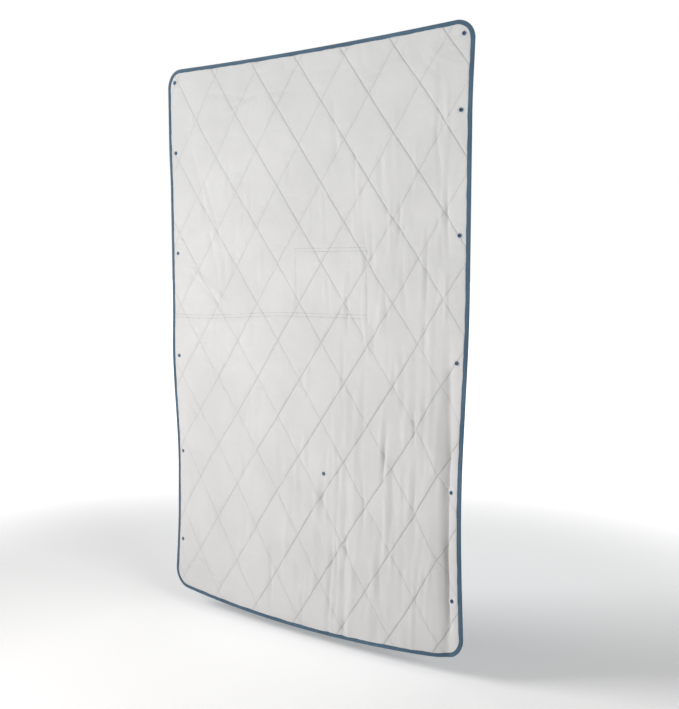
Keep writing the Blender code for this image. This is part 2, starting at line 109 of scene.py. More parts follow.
def hang(x, z):
    """Middle of the quilt at flat points (x, z), as rows of (x, y, z)."""
    down = -z
    across = 1.0 - (2.0 * x / WIDTH) ** 2
    billow = ease((down - BILLOW_START) / (LENGTH - BILLOW_START))
    billow = billow * (1.0 - ((x - BILLOW_CENTRE) / BILLOW_HALF_WIDTH) ** 2)
    fold = np.exp(-((x - FOLD_PLACE) / FOLD_HALF_WIDTH) ** 2) * stretch(down, *FOLD_RUN)
    lower_roll = stretch(down, *ROLL_RUN)
    roll = lower_roll + UPPER_ROLL * stretch(down, *UPPER_ROLL_RUN)
    roll = roll * ease((-x - WIDTH / 2 + ROLL_WIDTH) / ROLL_WIDTH)
    left = LEFT_PULL * lower_roll * ease((-x - LEFT_PULL_START[0]) / LEFT_PULL_START[1])
    right = RIGHT_PULL * ease(down / RIGHT_PULL_TOP)
    right = right + RIGHT_LOWER_PULL * stretch(down, *RIGHT_LOWER_RUN)
    right = right * ease((x - RIGHT_PULL_START[0]) / RIGHT_PULL_START[1])
    slip = ease((x - SLIP_RIGHT[0]) / SLIP_RIGHT[1]) - ease((-x - SLIP_LEFT[0]) / SLIP_LEFT[1])
    slip = slip * ease(down / SLIP_TOP) * (1.0 - ease((down - SLIP_FOOT[0]) / SLIP_FOOT[1]))
    sag = TOP_SAG * (across - 1.0) * (1.0 - ease(down / TOP_SAG_REACH))
    sag = sag + BOTTOM_SAG * across * ease((down - BOTTOM_SAG_START) / BOTTOM_SAG_REACH)
    return np.stack((
        x + left - right + ROLL_ASIDE * ROLL_DEPTH * roll,
        -BILLOW * billow + FOLD_DEPTH * fold + ROLL_DEPTH * roll,
        z - sag + SIDE_SLIP * slip,
    ), axis=-1)


SLOPE_STEP = 0.002


def hang_steps(x, z):
    """How far the hanging surface goes from one step before a point to one step after it."""
    across = hang(x + SLOPE_STEP, z) - hang(x - SLOPE_STEP, z)
    upward = hang(x, z + SLOPE_STEP) - hang(x, z - SLOPE_STEP)
    return across, upward


def hang_normal(x, z):
    """Unit normals of the middle surface, out of the shell cloth's side (+Y)."""
    across, upward = hang_steps(x, z)
    normal = np.cross(upward, across)
    return normal / np.linalg.norm(normal, axis=-1, keepdims=True)


snap_places = [(f"{side}_{row}", x, -down)
               for side, x in (("left", SNAP_INSET - WIDTH / 2), ("right", WIDTH / 2 - SNAP_INSET))
               for row, down in enumerate(SNAP_ROWS, 1)]
snap_places += [("centre", *CENTRE_SNAP)]
print("snaps:", len(snap_places))

# %% [markdown]
# ## Seams press the quilt flat
# Wadding fills the quilt everywhere except where thread pulls the two cloths together: along the
# diamond grid, at the binding, round the snaps, and on the double rows that hold the stuff pocket
# on the far side. So the thickness at any point follows from its distance to the nearest seam.

# %% The diamond grid and the distance to the nearest seam
DIAMOND_ACROSS = 0.1885
DIAMOND_DOWN = 0.2685
GRID_X = -0.303
GRID_Z = -0.442
ROW_SPACING = DIAMOND_ACROSS * DIAMOND_DOWN / math.hypot(DIAMOND_ACROSS, DIAMOND_DOWN)

POCKET_LEFT, POCKET_RIGHT = -0.036, 0.258
POCKET_TOP, POCKET_FOOT = -0.666, -0.887
ROW_GAP = 0.012                   # between the two rows of a double seam
SIDE_INSET = 0.002                # the pocket's side rows run this far inside its edges
SNAP_GRIP = 0.0075                # a snap presses the cloth flat this far round its middle


def grid_of(x, z):
    """The two diagonal counts; a quilting row runs where one of them is whole."""
    half_x = (x - GRID_X) / DIAMOND_ACROSS
    half_z = (z - GRID_Z) / DIAMOND_DOWN
    return half_x + half_z, half_x - half_z


def flat_of(s, t):
    return GRID_X + (s + t) * DIAMOND_ACROSS / 2, GRID_Z + (s - t) * DIAMOND_DOWN / 2


def inset_of(x, z):
    """How far a flat point lies inside the rounded edge."""
    past_x = np.maximum(np.abs(x) - (WIDTH / 2 - CORNER_RADIUS), 0.0)
    past_z = np.maximum(np.abs(z + LENGTH / 2) - (LENGTH / 2 - CORNER_RADIUS), 0.0)
    return CORNER_RADIUS - np.hypot(past_x, past_z)


def far_from_run(along, start, end, away):
    """Distance to a straight run from start to end, `away` being the distance to its line."""
    beyond = np.maximum(np.maximum(start - along, along - end), 0.0)
    return np.hypot(beyond, away)


def seam_rows():
    """The straight seams of the pocket as (x0, z0, x1, z1)."""
    rows = []
    for left, level in ((POCKET_LEFT, POCKET_TOP), (-WIDTH / 2, POCKET_FOOT)):
        for z in (level + ROW_GAP / 2, level - ROW_GAP / 2):
            rows.append((left, z, POCKET_RIGHT, z))
    for x in (POCKET_LEFT + SIDE_INSET, POCKET_RIGHT - SIDE_INSET):
        rows.append((x, POCKET_TOP, x, POCKET_FOOT))
    return rows


def from_pocket_rows(x, z):
    """Distance from flat points to the nearest row of the pocket."""
    away = np.full_like(x, 1.0)
    for x0, z0, x1, z1 in seam_rows():
        if x0 == x1:
            away = np.minimum(away, far_from_run(z, z1, z0, np.abs(x - x0)))
        else:
            away = np.minimum(away, far_from_run(x, x0, x1, np.abs(z - z0)))
    return away


def from_quilting(x, z):
    """Distance to the nearest falling row and to the nearest rising row."""
    s, t = grid_of(x, z)
    return np.abs(s - np.round(s)) * ROW_SPACING, np.abs(t - np.round(t)) * ROW_SPACING


def from_edging(x, z):
    """Distance to the binding or the nearest snap."""
    away = np.maximum(inset_of(x, z) - BINDING_WIDTH, 0.0)
    for _, sx, sz in snap_places:
        away = np.minimum(away, np.maximum(np.hypot(x - sx, z - sz) - SNAP_GRIP, 0.0))
    return away


def from_seams(x, z):
    """Distance to the nearest quilting row, binding or snap."""
    return np.minimum(np.minimum(*from_quilting(x, z)), from_edging(x, z))


LOOSE = 0.40                      # a slack row shows this much of a tight one
LOOSE_RUN = (0.45, 0.75)          # the change from falling to rising: its start down, its length
SLACK_SIDE = 0.55                 # the left side shows this much of the right, in depth and in painted shade
SLACK_RUN = (-0.45, 0.60)         # its end across, and the width of the change


def tightness(x, z):
    """How strongly the falling and the rising rows show, in their depth and in their painted shade: the
    falling ones high up and the rising ones low down, as a light from the left at mid-height picks them out."""
    low = ease((-z - LOOSE_RUN[0]) / LOOSE_RUN[1])
    side = SLACK_SIDE + (1.0 - SLACK_SIDE) * ease((x - SLACK_RUN[0]) / SLACK_RUN[1])
    return side * (1.0 - (1.0 - LOOSE) * low), side * (LOOSE + (1.0 - LOOSE) * low)


def row_marks(x, z, reach, power):
    """1 on a tight row, less on a slack one, fading to 0 over `reach`."""
    marks = [tight * np.exp(-(away / reach) ** power)
             for tight, away in zip(tightness(x, z), from_quilting(x, z))]
    return np.maximum(*marks)


SEWN = 0.0007                     # half thickness on a quilting row
PINCHED = 0.0029                  # and a few millimetres beside it
FULL = 0.0037                     # and in the middle of a diamond
PINCH = 0.0019                    # how sharply the thread pulls the cloth down
POCKET_DIP = 0.0012               # how much the pocket's rows take off
POCKET_DIP_REACH = 0.0055         # to this far beside them
POCKET_DIP_CLEAR = 0.006          # but less, this near a quilting row
SHOULDER = 0.055                  # how far the wadding takes to fill out
PRESS_EASE = 0.004                # the change from pressed to padded
CLOTH_TUCK = 0.0002               # at the edge the cloth lies this far under the pressed face


def half_loft(x, z):
    """Half the quilt's thickness at flat points."""
    away = from_seams(x, z)
    filled = 1.0 - (1.0 - np.clip(away / SHOULDER, 0.0, 1.0)) ** 3
    pinch = np.maximum(row_marks(x, z, PINCH, 1), np.exp(-from_edging(x, z) / PINCH))
    loft = PINCHED - (PINCHED - SEWN) * pinch + (FULL - PINCHED) * filled
    dip = POCKET_DIP * np.exp(-(from_pocket_rows(x, z) / POCKET_DIP_REACH) ** 2)
    loft = loft - dip * np.minimum(away / POCKET_DIP_CLEAR, 1.0)
    at_edge = 1.0 - ease((inset_of(x, z) - BINDING_WIDTH) / PRESS_EASE)
    loft = loft + (PRESSED / 2 - CLOTH_TUCK - loft) * at_edge
    for _, sx, sz in snap_places:
        gripped = 1.0 - ease((np.hypot(x - sx, z - sz) - SNAP_GRIP) / PRESS_EASE)
        loft = loft + (PRESSED / 2 - loft) * gripped
    return loft


print("quilting rows", round(ROW_SPACING * 1000), "mm apart")

# %% [markdown]
# ## Creases
# A hanging quilt is never smooth. Where it is held it pulls into folds, and where the side is
# slack it crumples. Each crease here is a ridge along a gently bowed line, with a shallow valley
# on both sides, because cloth keeps its length. The large ones are listed one by one and the small
# upright wrinkles of the right side come from a fixed seed.

# %% Crease lines
# (x0, z0), (x1, z1), bow, half width, height towards the lining's side
PLACED_CREASES = (
    ((-0.592, -0.676), (-0.315, -0.868), 0.010, 0.016, 0.0040),
    ((-0.580, -0.700), (-0.330, -0.905), 0.012, 0.013, -0.0022),
    ((-0.500, -0.300), (-0.352, -0.830), 0.030, 0.013, -0.0026),
    ((-0.556, -0.190), (-0.440, -0.600), 0.020, 0.013, -0.0020),
    ((-0.447, -0.560), (-0.382, -0.815), 0.010, 0.010, -0.0018),
    ((-0.480, -0.930), (-0.290, -0.985), 0.012, 0.012, -0.0024),
    ((-0.545, -0.985), (-0.330, -1.085), 0.022, 0.013, -0.0026),
    ((-0.520, -1.035), (-0.380, -1.120), 0.014, 0.010, 0.0014),
    ((-0.270, -0.765), (-0.085, -0.752), 0.006, 0.010, -0.0014),
    ((-0.255, -0.945), (-0.105, -0.935), 0.006, 0.010, -0.0014),
    ((-0.585, -1.200), (-0.470, -1.330), 0.010, 0.014, -0.0016),
    ((-0.330, -0.130), (0.110, -0.150), 0.012, 0.012, -0.0014),
    ((-0.460, -0.095), (-0.180, -0.150), 0.012, 0.012, -0.0016),
    ((-0.390, -0.165), (-0.130, -0.110), -0.010, 0.010, 0.0012),
    ((-0.080, -0.080), (0.260, -0.095), 0.008, 0.010, -0.0014),
    ((-0.250, -0.055), (0.060, -0.070), 0.006, 0.009, -0.0012),
    ((0.160, -0.135), (0.430, -0.110), 0.008, 0.011, -0.0012),
    ((0.470, -0.040), (0.620, -0.150), -0.022, 0.010, 0.0026),
    ((0.500, -0.030), (0.625, -0.115), -0.018, 0.007, -0.0020),
    ((0.430, -0.045), (0.615, -0.210), -0.030, 0.011, -0.0020),
    ((0.520, -0.100), (0.505, -0.420), 0.008, 0.012, -0.0030),
    ((0.548, -0.150), (0.545, -0.470), 0.006, 0.010, 0.0022),
    ((0.505, -0.300), (0.540, -0.640), 0.010, 0.012, -0.0024),
    ((0.083, -0.455), (0.094, -0.700), 0.006, 0.011, -0.0022),
    ((0.094, -0.745), (0.108, -0.905), 0.004, 0.010, -0.0022),
    ((0.066, -1.445), (0.080, -1.640), 0.010, 0.012, -0.0026),
    ((0.040, -1.570), (0.104, -1.745), 0.010, 0.012, -0.0022),
    ((0.110, -1.445), (0.180, -1.500), 0.004, 0.010, -0.0018),
    ((-0.585, -1.765), (-0.440, -1.900), -0.030, 0.018, 0.0040),
    ((-0.560, -1.735), (-0.400, -1.880), -0.030, 0.013, -0.0026),
    ((-0.560, -1.480), (-0.520, -1.680), 0.006, 0.009, 0.0022),
    ((-0.545, -1.560), (-0.500, -1.760), 0.008, 0.009, -0.0022),
    ((0.470, -1.230), (0.500, -1.520), 0.010, 0.014, -0.0026),
    ((0.500, -1.540), (0.455, -1.900), -0.014, 0.014, -0.0030),
    ((0.530, -1.620), (0.500, -1.900), -0.010, 0.010, 0.0030),
    ((0.583, -1.200), (0.580, -1.640), 0.003, 0.009, -0.0088),
    ((0.580, -1.540), (0.583, -1.900), -0.003, 0.010, -0.0088),
    ((0.548, -1.300), (0.556, -1.720), 0.002, 0.010, 0.0030),
)


CREASE_HALF_WIDTHS = (0.009, 0.018)
CREASE_LEAN = 0.05                # typical lean and bow, as shares of the length
CREASE_BOW = 0.03


def scattered_creases(count, region, lengths, heights, seed):
    """Upright wrinkles at random places in a region (x0, x1, z0, z1); two in three are valleys."""
    chance = np.random.default_rng(seed)
    creases = []
    for _ in range(count):
        x = chance.uniform(region[0], region[1])
        z = chance.uniform(region[3], region[2])
        length = chance.uniform(*lengths)
        lean = chance.normal(0.0, CREASE_LEAN) * length
        height = chance.uniform(*heights) * chance.choice((-1.0, -1.0, 1.0))
        bow = chance.normal(0.0, CREASE_BOW) * length
        half_width = chance.uniform(*CREASE_HALF_WIDTHS)
        creases.append(((x, z), (x + lean, z - length), bow, half_width, height))
    return creases


creases = list(PLACED_CREASES)
for scatter in (
    # count, region, lengths, heights, seed
    (84, (0.10, 0.58, -0.12, -1.72), (0.14, 0.38), (0.0018, 0.0038), 11),
    (40, (-0.15, 0.52, -1.25, -1.72), (0.12, 0.32), (0.0018, 0.0036), 12),
    (30, (-0.55, 0.10, -0.25, -1.60), (0.10, 0.26), (0.0010, 0.0020), 13),
):
    creases += scattered_creases(*scatter)

CREASE_ENDS = 3.5                 # a crease fades over 1 / 3.5 of its length at both ends
CREASE_VALLEY = 0.7               # how deep the valley beside a ridge is
CALM_EDGE = 0.020                 # no creases at the edge; they grow over this much
CALM_SNAP = (0.009, 0.016)        # none this near a snap, growing over the second number
CALM_POCKET = 0.02                # none at the zip, to this far past its ends
CALM_ZIP = (0.014, 0.012)


def crease_height(x, z):
    """How far the creases lift the quilt towards its lining side."""
    lift = np.zeros_like(x)
    for (x0, z0), (x1, z1), bow, half_width, height in creases:
        length = math.hypot(x1 - x0, z1 - z0)
        ux, uz = (x1 - x0) / length, (z1 - z0) / length
        along = ((x - x0) * ux + (z - z0) * uz) / length
        aside = (z - z0) * ux - (x - x0) * uz - bow * 4.0 * along * (1.0 - along)
        ends = ease(along * CREASE_ENDS) * ease((1.0 - along) * CREASE_ENDS)
        square = (aside / half_width) ** 2
        lift += height * ends * (1.0 - CREASE_VALLEY * square) * np.exp(-square)
    calm = ease(inset_of(x, z) / CALM_EDGE)
    in_pocket = ease((x - POCKET_LEFT + CALM_POCKET) / CALM_POCKET)
    in_pocket = in_pocket * ease((POCKET_RIGHT + CALM_POCKET - x) / CALM_POCKET)
    at_zip = in_pocket * (1.0 - ease((np.abs(z - POCKET_TOP) - CALM_ZIP[0]) / CALM_ZIP[1]))
    for _, sx, sz in snap_places:
        calm = np.minimum(calm, ease((np.hypot(x - sx, z - sz) - CALM_SNAP[0]) / CALM_SNAP[1]))
    return lift * calm * (1.0 - at_zip)


SNAP_PLANE = (0.010, 0.018)       # the cloth is flat this far round a snap, and blends over this


def place(x, z, through):
    """Flat points, `through` the thickness (- is the lining's side), on the hanging quilt.

    Round a snap the cloth is blended onto the snap's own plane.
    """
    normal = hang_normal(x, z)
    spot = hang(x, z)
    for _, sx, sz in snap_places:
        away = np.hypot(x - sx, z - sz)
        near = away < sum(SNAP_PLANE)
        if not near.any():
            continue
        at_x, at_z = np.array([sx]), np.array([sz])
        across, upward = (steps / (2 * SLOPE_STEP) for steps in hang_steps(at_x, at_z))
        plane = hang(at_x, at_z) + across * (x[near] - sx)[:, None] + upward * (z[near] - sz)[:, None]
        mix = (1.0 - ease((away[near] - SNAP_PLANE[0]) / SNAP_PLANE[1]))[:, None]
        spot[near] = spot[near] + (plane - spot[near]) * mix
        turned = normal[near] + (hang_normal(at_x, at_z) - normal[near]) * mix
        normal[near] = turned / np.linalg.norm(turned, axis=-1, keepdims=True)
    return spot + normal * (through - crease_height(x, z))[:, None]


print("creases:", len(creases))

# %% [markdown]
# ## Procedural finishes
# A cloth's finish is built from noise and waves in its own flat coordinates, kept in a UV map
# with one unit to two metres, so that the weave doesn't slide where the cloth bends. Thread and
# plastic are small and stiff, so theirs read the Object coordinates. Constant values sit on the
# shader's own sockets.

# %% Material helpers
def add_node(tree, kind, wires=None, values=None, **settings):
    """A node with its settings, its sockets' values and the wires into its other sockets."""
    node = tree.nodes.new(kind)
    for name, value in settings.items():
        setattr(node, name, value)
    for socket, value in (values or {}).items():
        node.inputs[socket].default_value = value
    for socket, source in (wires or {}).items():
        tree.links.new(source, node.inputs[socket])
    return node


def new_finish(name, roughness, metallic=0.0, sheen=0.0, coat=0.0, specular=0.5):
    """A Principled material with its constant values set; returns it with its tree and shader."""
    material = bpy.data.materials.new(name)
    material.use_nodes = True
    shader = material.node_tree.nodes["Principled BSDF"]
    for socket, value in (
        ("Roughness", roughness), ("Metallic", metallic), ("Sheen Weight", sheen),
        ("Coat Weight", coat), ("Specular IOR Level", specular),
    ):
        shader.inputs[socket].default_value = value
    return material, material.node_tree, shader


def object_place(tree):
    return add_node(tree, "ShaderNodeTexCoord").outputs["Object"]


def noise(tree, spot, scale, detail=3.0, roughness=0.5):
    values = {"Scale": scale, "Detail": detail, "Roughness": roughness}
    return add_node(tree, "ShaderNodeTexNoise", {"Vector": spot}, values).outputs["Fac"]


TONE_SPREAD = (0.35, 0.65)        # noise outside this range gives the plain tones


def mixed_color(tree, factor, low, high):
    """A colour ramp between two tones."""
    ramp = add_node(tree, "ShaderNodeValToRGB", {"Fac": factor})
    for stop, position, tone in zip(ramp.color_ramp.elements, TONE_SPREAD, (low, high)):
        stop.position = position
        stop.color = (*tone, 1.0)
    return ramp.outputs["Color"]


def bump(tree, height, distance, under=None):
    """Relief up to `distance` high, laid over an earlier relief where one is given."""
    wires = {"Height": height} if under is None else {"Height": height, "Normal": under}
    values = {"Distance": distance, "Strength": 1.0}
    return add_node(tree, "ShaderNodeBump", wires, values).outputs["Normal"]


def weave(tree, spot, threads):
    """Plain weave: two crossed waves, `threads` to the coordinate unit."""
    values = {"Scale": threads, "Distortion": 0.6, "Detail": 1.0, "Detail Scale": 0.4}
    warp, weft = (
        add_node(tree, "ShaderNodeTexWave", {"Vector": spot}, values,
                 bands_direction=direction, wave_profile="SIN").outputs["Fac"]
        for direction in ("X", "Y"))
    return add_node(tree, "ShaderNodeMath", {0: warp, 1: weft}, operation="MULTIPLY").outputs["Value"]


def cloth_finish(name, low, high, roughness, sheen, threads, grain, crumple):
    """Woven cloth: cloudy colour, painted shade along the quilting rows, thread relief and a soft crumple.

    All of it is in the cloth's UV map; `grain` and `crumple` are the heights of the relief.
    """
    material, tree, shader = new_finish(name, roughness, sheen=sheen, specular=0.35)
    shader.inputs["Sheen Roughness"].default_value = 0.45
    flat = add_node(tree, "ShaderNodeUVMap", uv_map="cloth").outputs["UV"]
    cloudy = mixed_color(tree, noise(tree, flat, 9.0, 4.0, 0.55), low, high)
    # painted shade: the colour is multiplied darker along the quilting rows, where the seam groove would lie
    # in shade
    painted_seam_shade = add_node(tree, "ShaderNodeAttribute", attribute_name="painted_seam_shade").outputs["Fac"]
    shade = add_node(tree, "ShaderNodeMix", values={"B": (0.76, 0.76, 0.77, 1.0)},
                     wires={"Factor": painted_seam_shade, "A": cloudy}, data_type="RGBA", blend_type="MULTIPLY")
    tree.links.new(shade.outputs["Result"], shader.inputs["Base Color"])
    drawn = add_node(tree, "ShaderNodeMapping", {"Vector": flat}, {"Scale": (1.0, 0.55, 1.0)})
    crumples = bump(tree, noise(tree, drawn.outputs["Vector"], 34.0, 3.0, 0.55), crumple)
    woven = bump(tree, weave(tree, flat, threads), grain, under=crumples)
    tree.links.new(woven, shader.inputs["Normal"])
    return material


def grainy_finish(name, low, high, scale, grain, detail=3.0, harsh=0.5, **values):
    """Thread, wadding or metal: one fine noise on Object coordinates gives colour and relief."""
    material, tree, shader = new_finish(name, **values)
    grit = noise(tree, object_place(tree), scale, detail, harsh)
    tree.links.new(mixed_color(tree, grit, low, high), shader.inputs["Base Color"])
    tree.links.new(bump(tree, grit, grain), shader.inputs["Normal"])
    return material


LINING_CLOTH = cloth_finish(
    "pale_lining_weave", (0.60, 0.60, 0.598), (0.64, 0.64, 0.638),
    roughness=0.80, sheen=0.08, threads=320.0, grain=0.00012, crumple=0.0030)
SHELL_CLOTH = cloth_finish(
    "slate_shell_weave", (0.085, 0.165, 0.240), (0.110, 0.200, 0.285),
    roughness=0.58, sheen=0.30, threads=260.0, grain=0.00016, crumple=0.0024)
BINDING_CLOTH = cloth_finish(
    "slate_binding_twill", (0.040, 0.090, 0.140), (0.065, 0.130, 0.195),
    roughness=0.66, sheen=0.20, threads=180.0, grain=0.00022, crumple=0.0010)
print("cloth finishes:", LINING_CLOTH.name, SHELL_CLOTH.name, BINDING_CLOTH.name)

# %% [markdown]
# ## The two cloths
# A regular grid would cut across the diamonds and leave saw-toothed seams. So the mesh is laid
# along the quilting rows themselves: its two edge directions are the two diagonals, with the
# points crowded towards the rows, where the cloth turns sharply. Points past the rounded edge
# are brought back onto it.

# %% A grid that follows the quilting rows
CELLS = 28                        # steps across one diamond
CROWDING = 0.62                   # how strongly points crowd towards a row
GRID_REACH = 13                   # diamonds on each side of the first one, past every corner
TRIM = 0.0015                     # points nearer to the edge than this are brought back
TUCKED = 0.0005                   # to this far inside it


def crowded(count):
    """Whole steps 0, 1, 2 ... as diagonal counts, packed closer near whole counts."""
    whole, part = np.divmod(count / CELLS, 1.0)
    return whole + part - CROWDING * np.sin(2.0 * np.pi * part) / (2.0 * np.pi)


def grid_quads(shape):
    """The four corners of every cell of a grid of points, numbered row by row."""
    index = np.arange(shape[0] * shape[1]).reshape(shape)
    return np.stack((index[:-1, :-1], index[1:, :-1], index[1:, 1:], index[:-1, 1:]), axis=-1)


def trimmed_grid():
    """Flat points and quads along the rows, trimmed to the rounded edge."""
    steps = np.arange(-GRID_REACH * CELLS, GRID_REACH * CELLS + 1)
    s, t = np.meshgrid(crowded(steps), crowded(steps), indexing="ij")
    x, z = flat_of(s, t)
    inside = inset_of(x, z) > TRIM
    corner = inside[:-1, :-1] | inside[1:, :-1] | inside[1:, 1:] | inside[:-1, 1:]
    used, quads = np.unique(grid_quads(x.shape)[corner], return_inverse=True)
    quads = quads.reshape(-1, 4)
    x, z, inside = x.ravel()[used], z.ravel()[used], inside.ravel()[used]
    core_x = np.clip(x, CORNER_RADIUS - WIDTH / 2, WIDTH / 2 - CORNER_RADIUS)
    core_z = np.clip(z, CORNER_RADIUS - LENGTH, -CORNER_RADIUS)
    reach = (CORNER_RADIUS - TUCKED) / np.maximum(np.hypot(x - core_x, z - core_z), 1e-9)
    x = np.where(inside, x, core_x + (x - core_x) * reach)
    z = np.where(inside, z, core_z + (z - core_z) * reach)
    whole_s = np.repeat((steps % CELLS == 0)[:, None], len(steps), axis=1).ravel()[used]
    whole_t = np.repeat((steps % CELLS == 0)[None, :], len(steps), axis=0).ravel()[used]
    place_in_grid = np.stack(np.divmod(used, len(steps)), axis=-1)
    return x, z, quads, whole_s, whole_t, place_in_grid, inside


flat_x, flat_z, quads, on_s_row, on_t_row, grid_place, inside = trimmed_grid()
print("cloth grid:", len(flat_x), "points,", len(quads), "quads")

# %% [markdown]
# The wadding pushes the cloth up between the rows, and the cloth answers with small puckers that
# no formula gives. Blender's Cloth does that part: the rows are pinned, a little pressure blows
# each diamond up, and the cloth may be slightly larger than its span. How far a point may move is
# capped at under a millimetre, because this quilt is thin and hangs nearly flat.

# %% Build a skin and let it puff
def mesh_object(name, points, faces, material):
    mesh = bpy.data.meshes.new(name)
    mesh.vertices.add(len(points))
    mesh.vertices.foreach_set("co", np.asarray(points, np.float32).ravel())
    faces = np.asarray(faces)
    mesh.loops.add(faces.size)
    mesh.loops.foreach_set("vertex_index", faces.ravel().astype(np.int32))
    mesh.polygons.add(len(faces))
    mesh.polygons.foreach_set("loop_start", np.arange(0, faces.size, faces.shape[1], dtype=np.int32))
    mesh.update(calc_edges=True)
    mesh.validate()
    mesh.materials.append(material)
    mesh.shade_smooth()
    piece = bpy.data.objects.new(name, mesh)
    bpy.context.scene.collection.objects.link(piece)
    return piece


def add_cloth_uv(piece, x, z):
    """Keep each point's flat place, halved, in a UV map named cloth."""
    layer = piece.data.uv_layers.new(name="cloth")
    corner = np.empty(len(piece.data.loops), np.int32)
    piece.data.loops.foreach_get("vertex_index", corner)
    uv = np.stack((x[corner] / 2 + 0.5, z[corner] / 2 + 1.0), axis=-1)
    layer.data.foreach_set("uv", uv.ravel().astype(np.float32))


MARK_REACH = 0.0013               # the painted shade beside a row is this wide


def paint_seam_shade(piece, x, z):
    """Painted shade along the quilting rows: how much the finish darkens the cloth at each point."""
    layer = piece.data.attributes.new("painted_seam_shade", "FLOAT", "POINT")
    layer.data.foreach_set("value", row_marks(x, z, MARK_REACH, 2).astype(np.float32))


def points_of(piece):
    points = np.empty(len(piece.data.vertices) * 3, np.float32)
    piece.data.vertices.foreach_get("co", points)
    return points.reshape(-1, 3).astype(float)


PUFF_CAP = 0.0008                 # the most that the simulation may move a point
PUFF_FRAMES = 20
PIN_LEVELS = 10
PIN_REACH = 0.004                 # the thread holds the cloth to about this far from a seam
LIGHT_CLOTH = {
    "quality": 4, "mass": 0.15, "tension_stiffness": 25.0, "compression_stiffness": 25.0,
    "shear_stiffness": 10.0, "bending_stiffness": 0.3, "vertex_group_mass": "sewn",
    "pin_stiffness": 1.0, "shrink_min": -0.030, "use_pressure": True, "uniform_pressure_force": 0.6,
}


def puff(piece, x, z):
    """Pinned at its seams, the cloth swells and puckers; then its shape is kept."""
    start = points_of(piece)
    hold = np.exp(-(np.minimum(from_seams(x, z), from_pocket_rows(x, z)) / PIN_REACH) ** 2)
    sewn = piece.vertex_groups.new(name="sewn")
    for level in range(1, PIN_LEVELS + 1):
        chosen = np.nonzero(np.round(hold * PIN_LEVELS).astype(int) == level)[0]
        sewn.add(chosen.tolist(), level / PIN_LEVELS, "REPLACE")
    cloth = piece.modifiers.new("puff", "CLOTH")
    for setting, value in LIGHT_CLOTH.items():
        setattr(cloth.settings, setting, value)
    cloth.settings.effector_weights.gravity = 0.0
    cloth.collision_settings.use_collision = False
    scene = bpy.context.scene
    cloth.point_cache.frame_start = 1
    cloth.point_cache.frame_end = PUFF_FRAMES
    for moment in range(1, PUFF_FRAMES + 1):
        scene.frame_set(moment)
    graph = bpy.context.evaluated_depsgraph_get()
    settled = piece.evaluated_get(graph).to_mesh()
    moved = np.empty(len(start) * 3, np.float32)
    settled.vertices.foreach_get("co", moved)
    piece.evaluated_get(graph).to_mesh_clear()
    piece.modifiers.remove(cloth)
    piece.vertex_groups.remove(sewn)
    scene.frame_set(1)
    shift = moved.reshape(-1, 3).astype(float) - start
    size = np.linalg.norm(shift, axis=1, keepdims=True)
    shift *= PUFF_CAP * np.tanh(size / PUFF_CAP) / np.maximum(size, 1e-9)
    print(piece.name, "puffed by up to", round(float(size.max()) * 1000, 1), "mm before the cap")
    piece.data.vertices.foreach_set("co", (start + shift).astype(np.float32).ravel())
    piece.data.update()


def skin(name, side, material, node):
    """One cloth of the quilt: side -1 is the lining, +1 the shell."""
    points = place(flat_x, flat_z, side * half_loft(flat_x, flat_z))
    piece = mesh_object(name, points, quads if side > 0 else quads[:, ::-1], material)
    add_cloth_uv(piece, flat_x, flat_z)
    paint_seam_shade(piece, flat_x, flat_z)
    puff(piece, flat_x, flat_z)
    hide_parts(node)
    return piece, points_of(piece)


lining, lining_surface = skin("lining", -1, LINING_CLOTH, "lining_fabric")
shell, shell_surface = skin("shell", 1, SHELL_CLOTH, "shell_fabric")
print("lining:", len(lining.data.polygons), "faces; shell:", len(shell.data.polygons), "faces")

# %% [markdown]
# ## Wadding
# Polyester wadding is one soft sheet that fills what the two cloths leave, so it is built from
# them: each of its faces lies a little inside the cloth next to it, and a wall closes the edge.

# %% Wadding between the cloths
def closed_layers(front, back, faces):
    """Join two matching surfaces by a wall along their open edge."""
    count = len(front)
    edges = np.concatenate([faces[:, [side, (side + 1) % 4]] for side in range(4)])
    _, first, uses = np.unique(np.sort(edges, axis=1), axis=0, return_index=True, return_counts=True)
    rim = edges[first[uses == 1]]
    wall = np.stack((rim[:, 1], rim[:, 0], rim[:, 0] + count, rim[:, 1] + count), axis=-1)
    return np.concatenate((front, back)), np.concatenate((faces, faces[:, ::-1] + count, wall))


WHITE_WADDING = grainy_finish("white_wadding", (0.80, 0.80, 0.79), (0.93, 0.93, 0.92), 420.0, 0.0012,
                              detail=6.0, harsh=0.7, roughness=0.95, sheen=0.5, specular=0.2)
WADDING_CLEAR = 0.0007            # the wadding lies this far inside each cloth
WADDING_SHARE = 0.3               # or this share of the gap, where that is less

across = shell_surface - lining_surface
gap = np.linalg.norm(across, axis=1, keepdims=True)
tuck = across / gap * np.minimum(WADDING_CLEAR, WADDING_SHARE * gap)
wadding_points, wadding_faces = closed_layers(shell_surface - tuck, lining_surface + tuck, quads)
wadding = mesh_object("wadding", wadding_points, wadding_faces, WHITE_WADDING)
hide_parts("insulation_batting")
print("wadding:", len(wadding_faces), "faces")

# %% [markdown]
# ## Edge binding
# The raw edges are wrapped in a folded strip, sewn through with one row of stitches. It is a
# section swept round the edge: two flat legs, a round fold outside, and thread tension that
# gathers the strip slightly between the stitches.

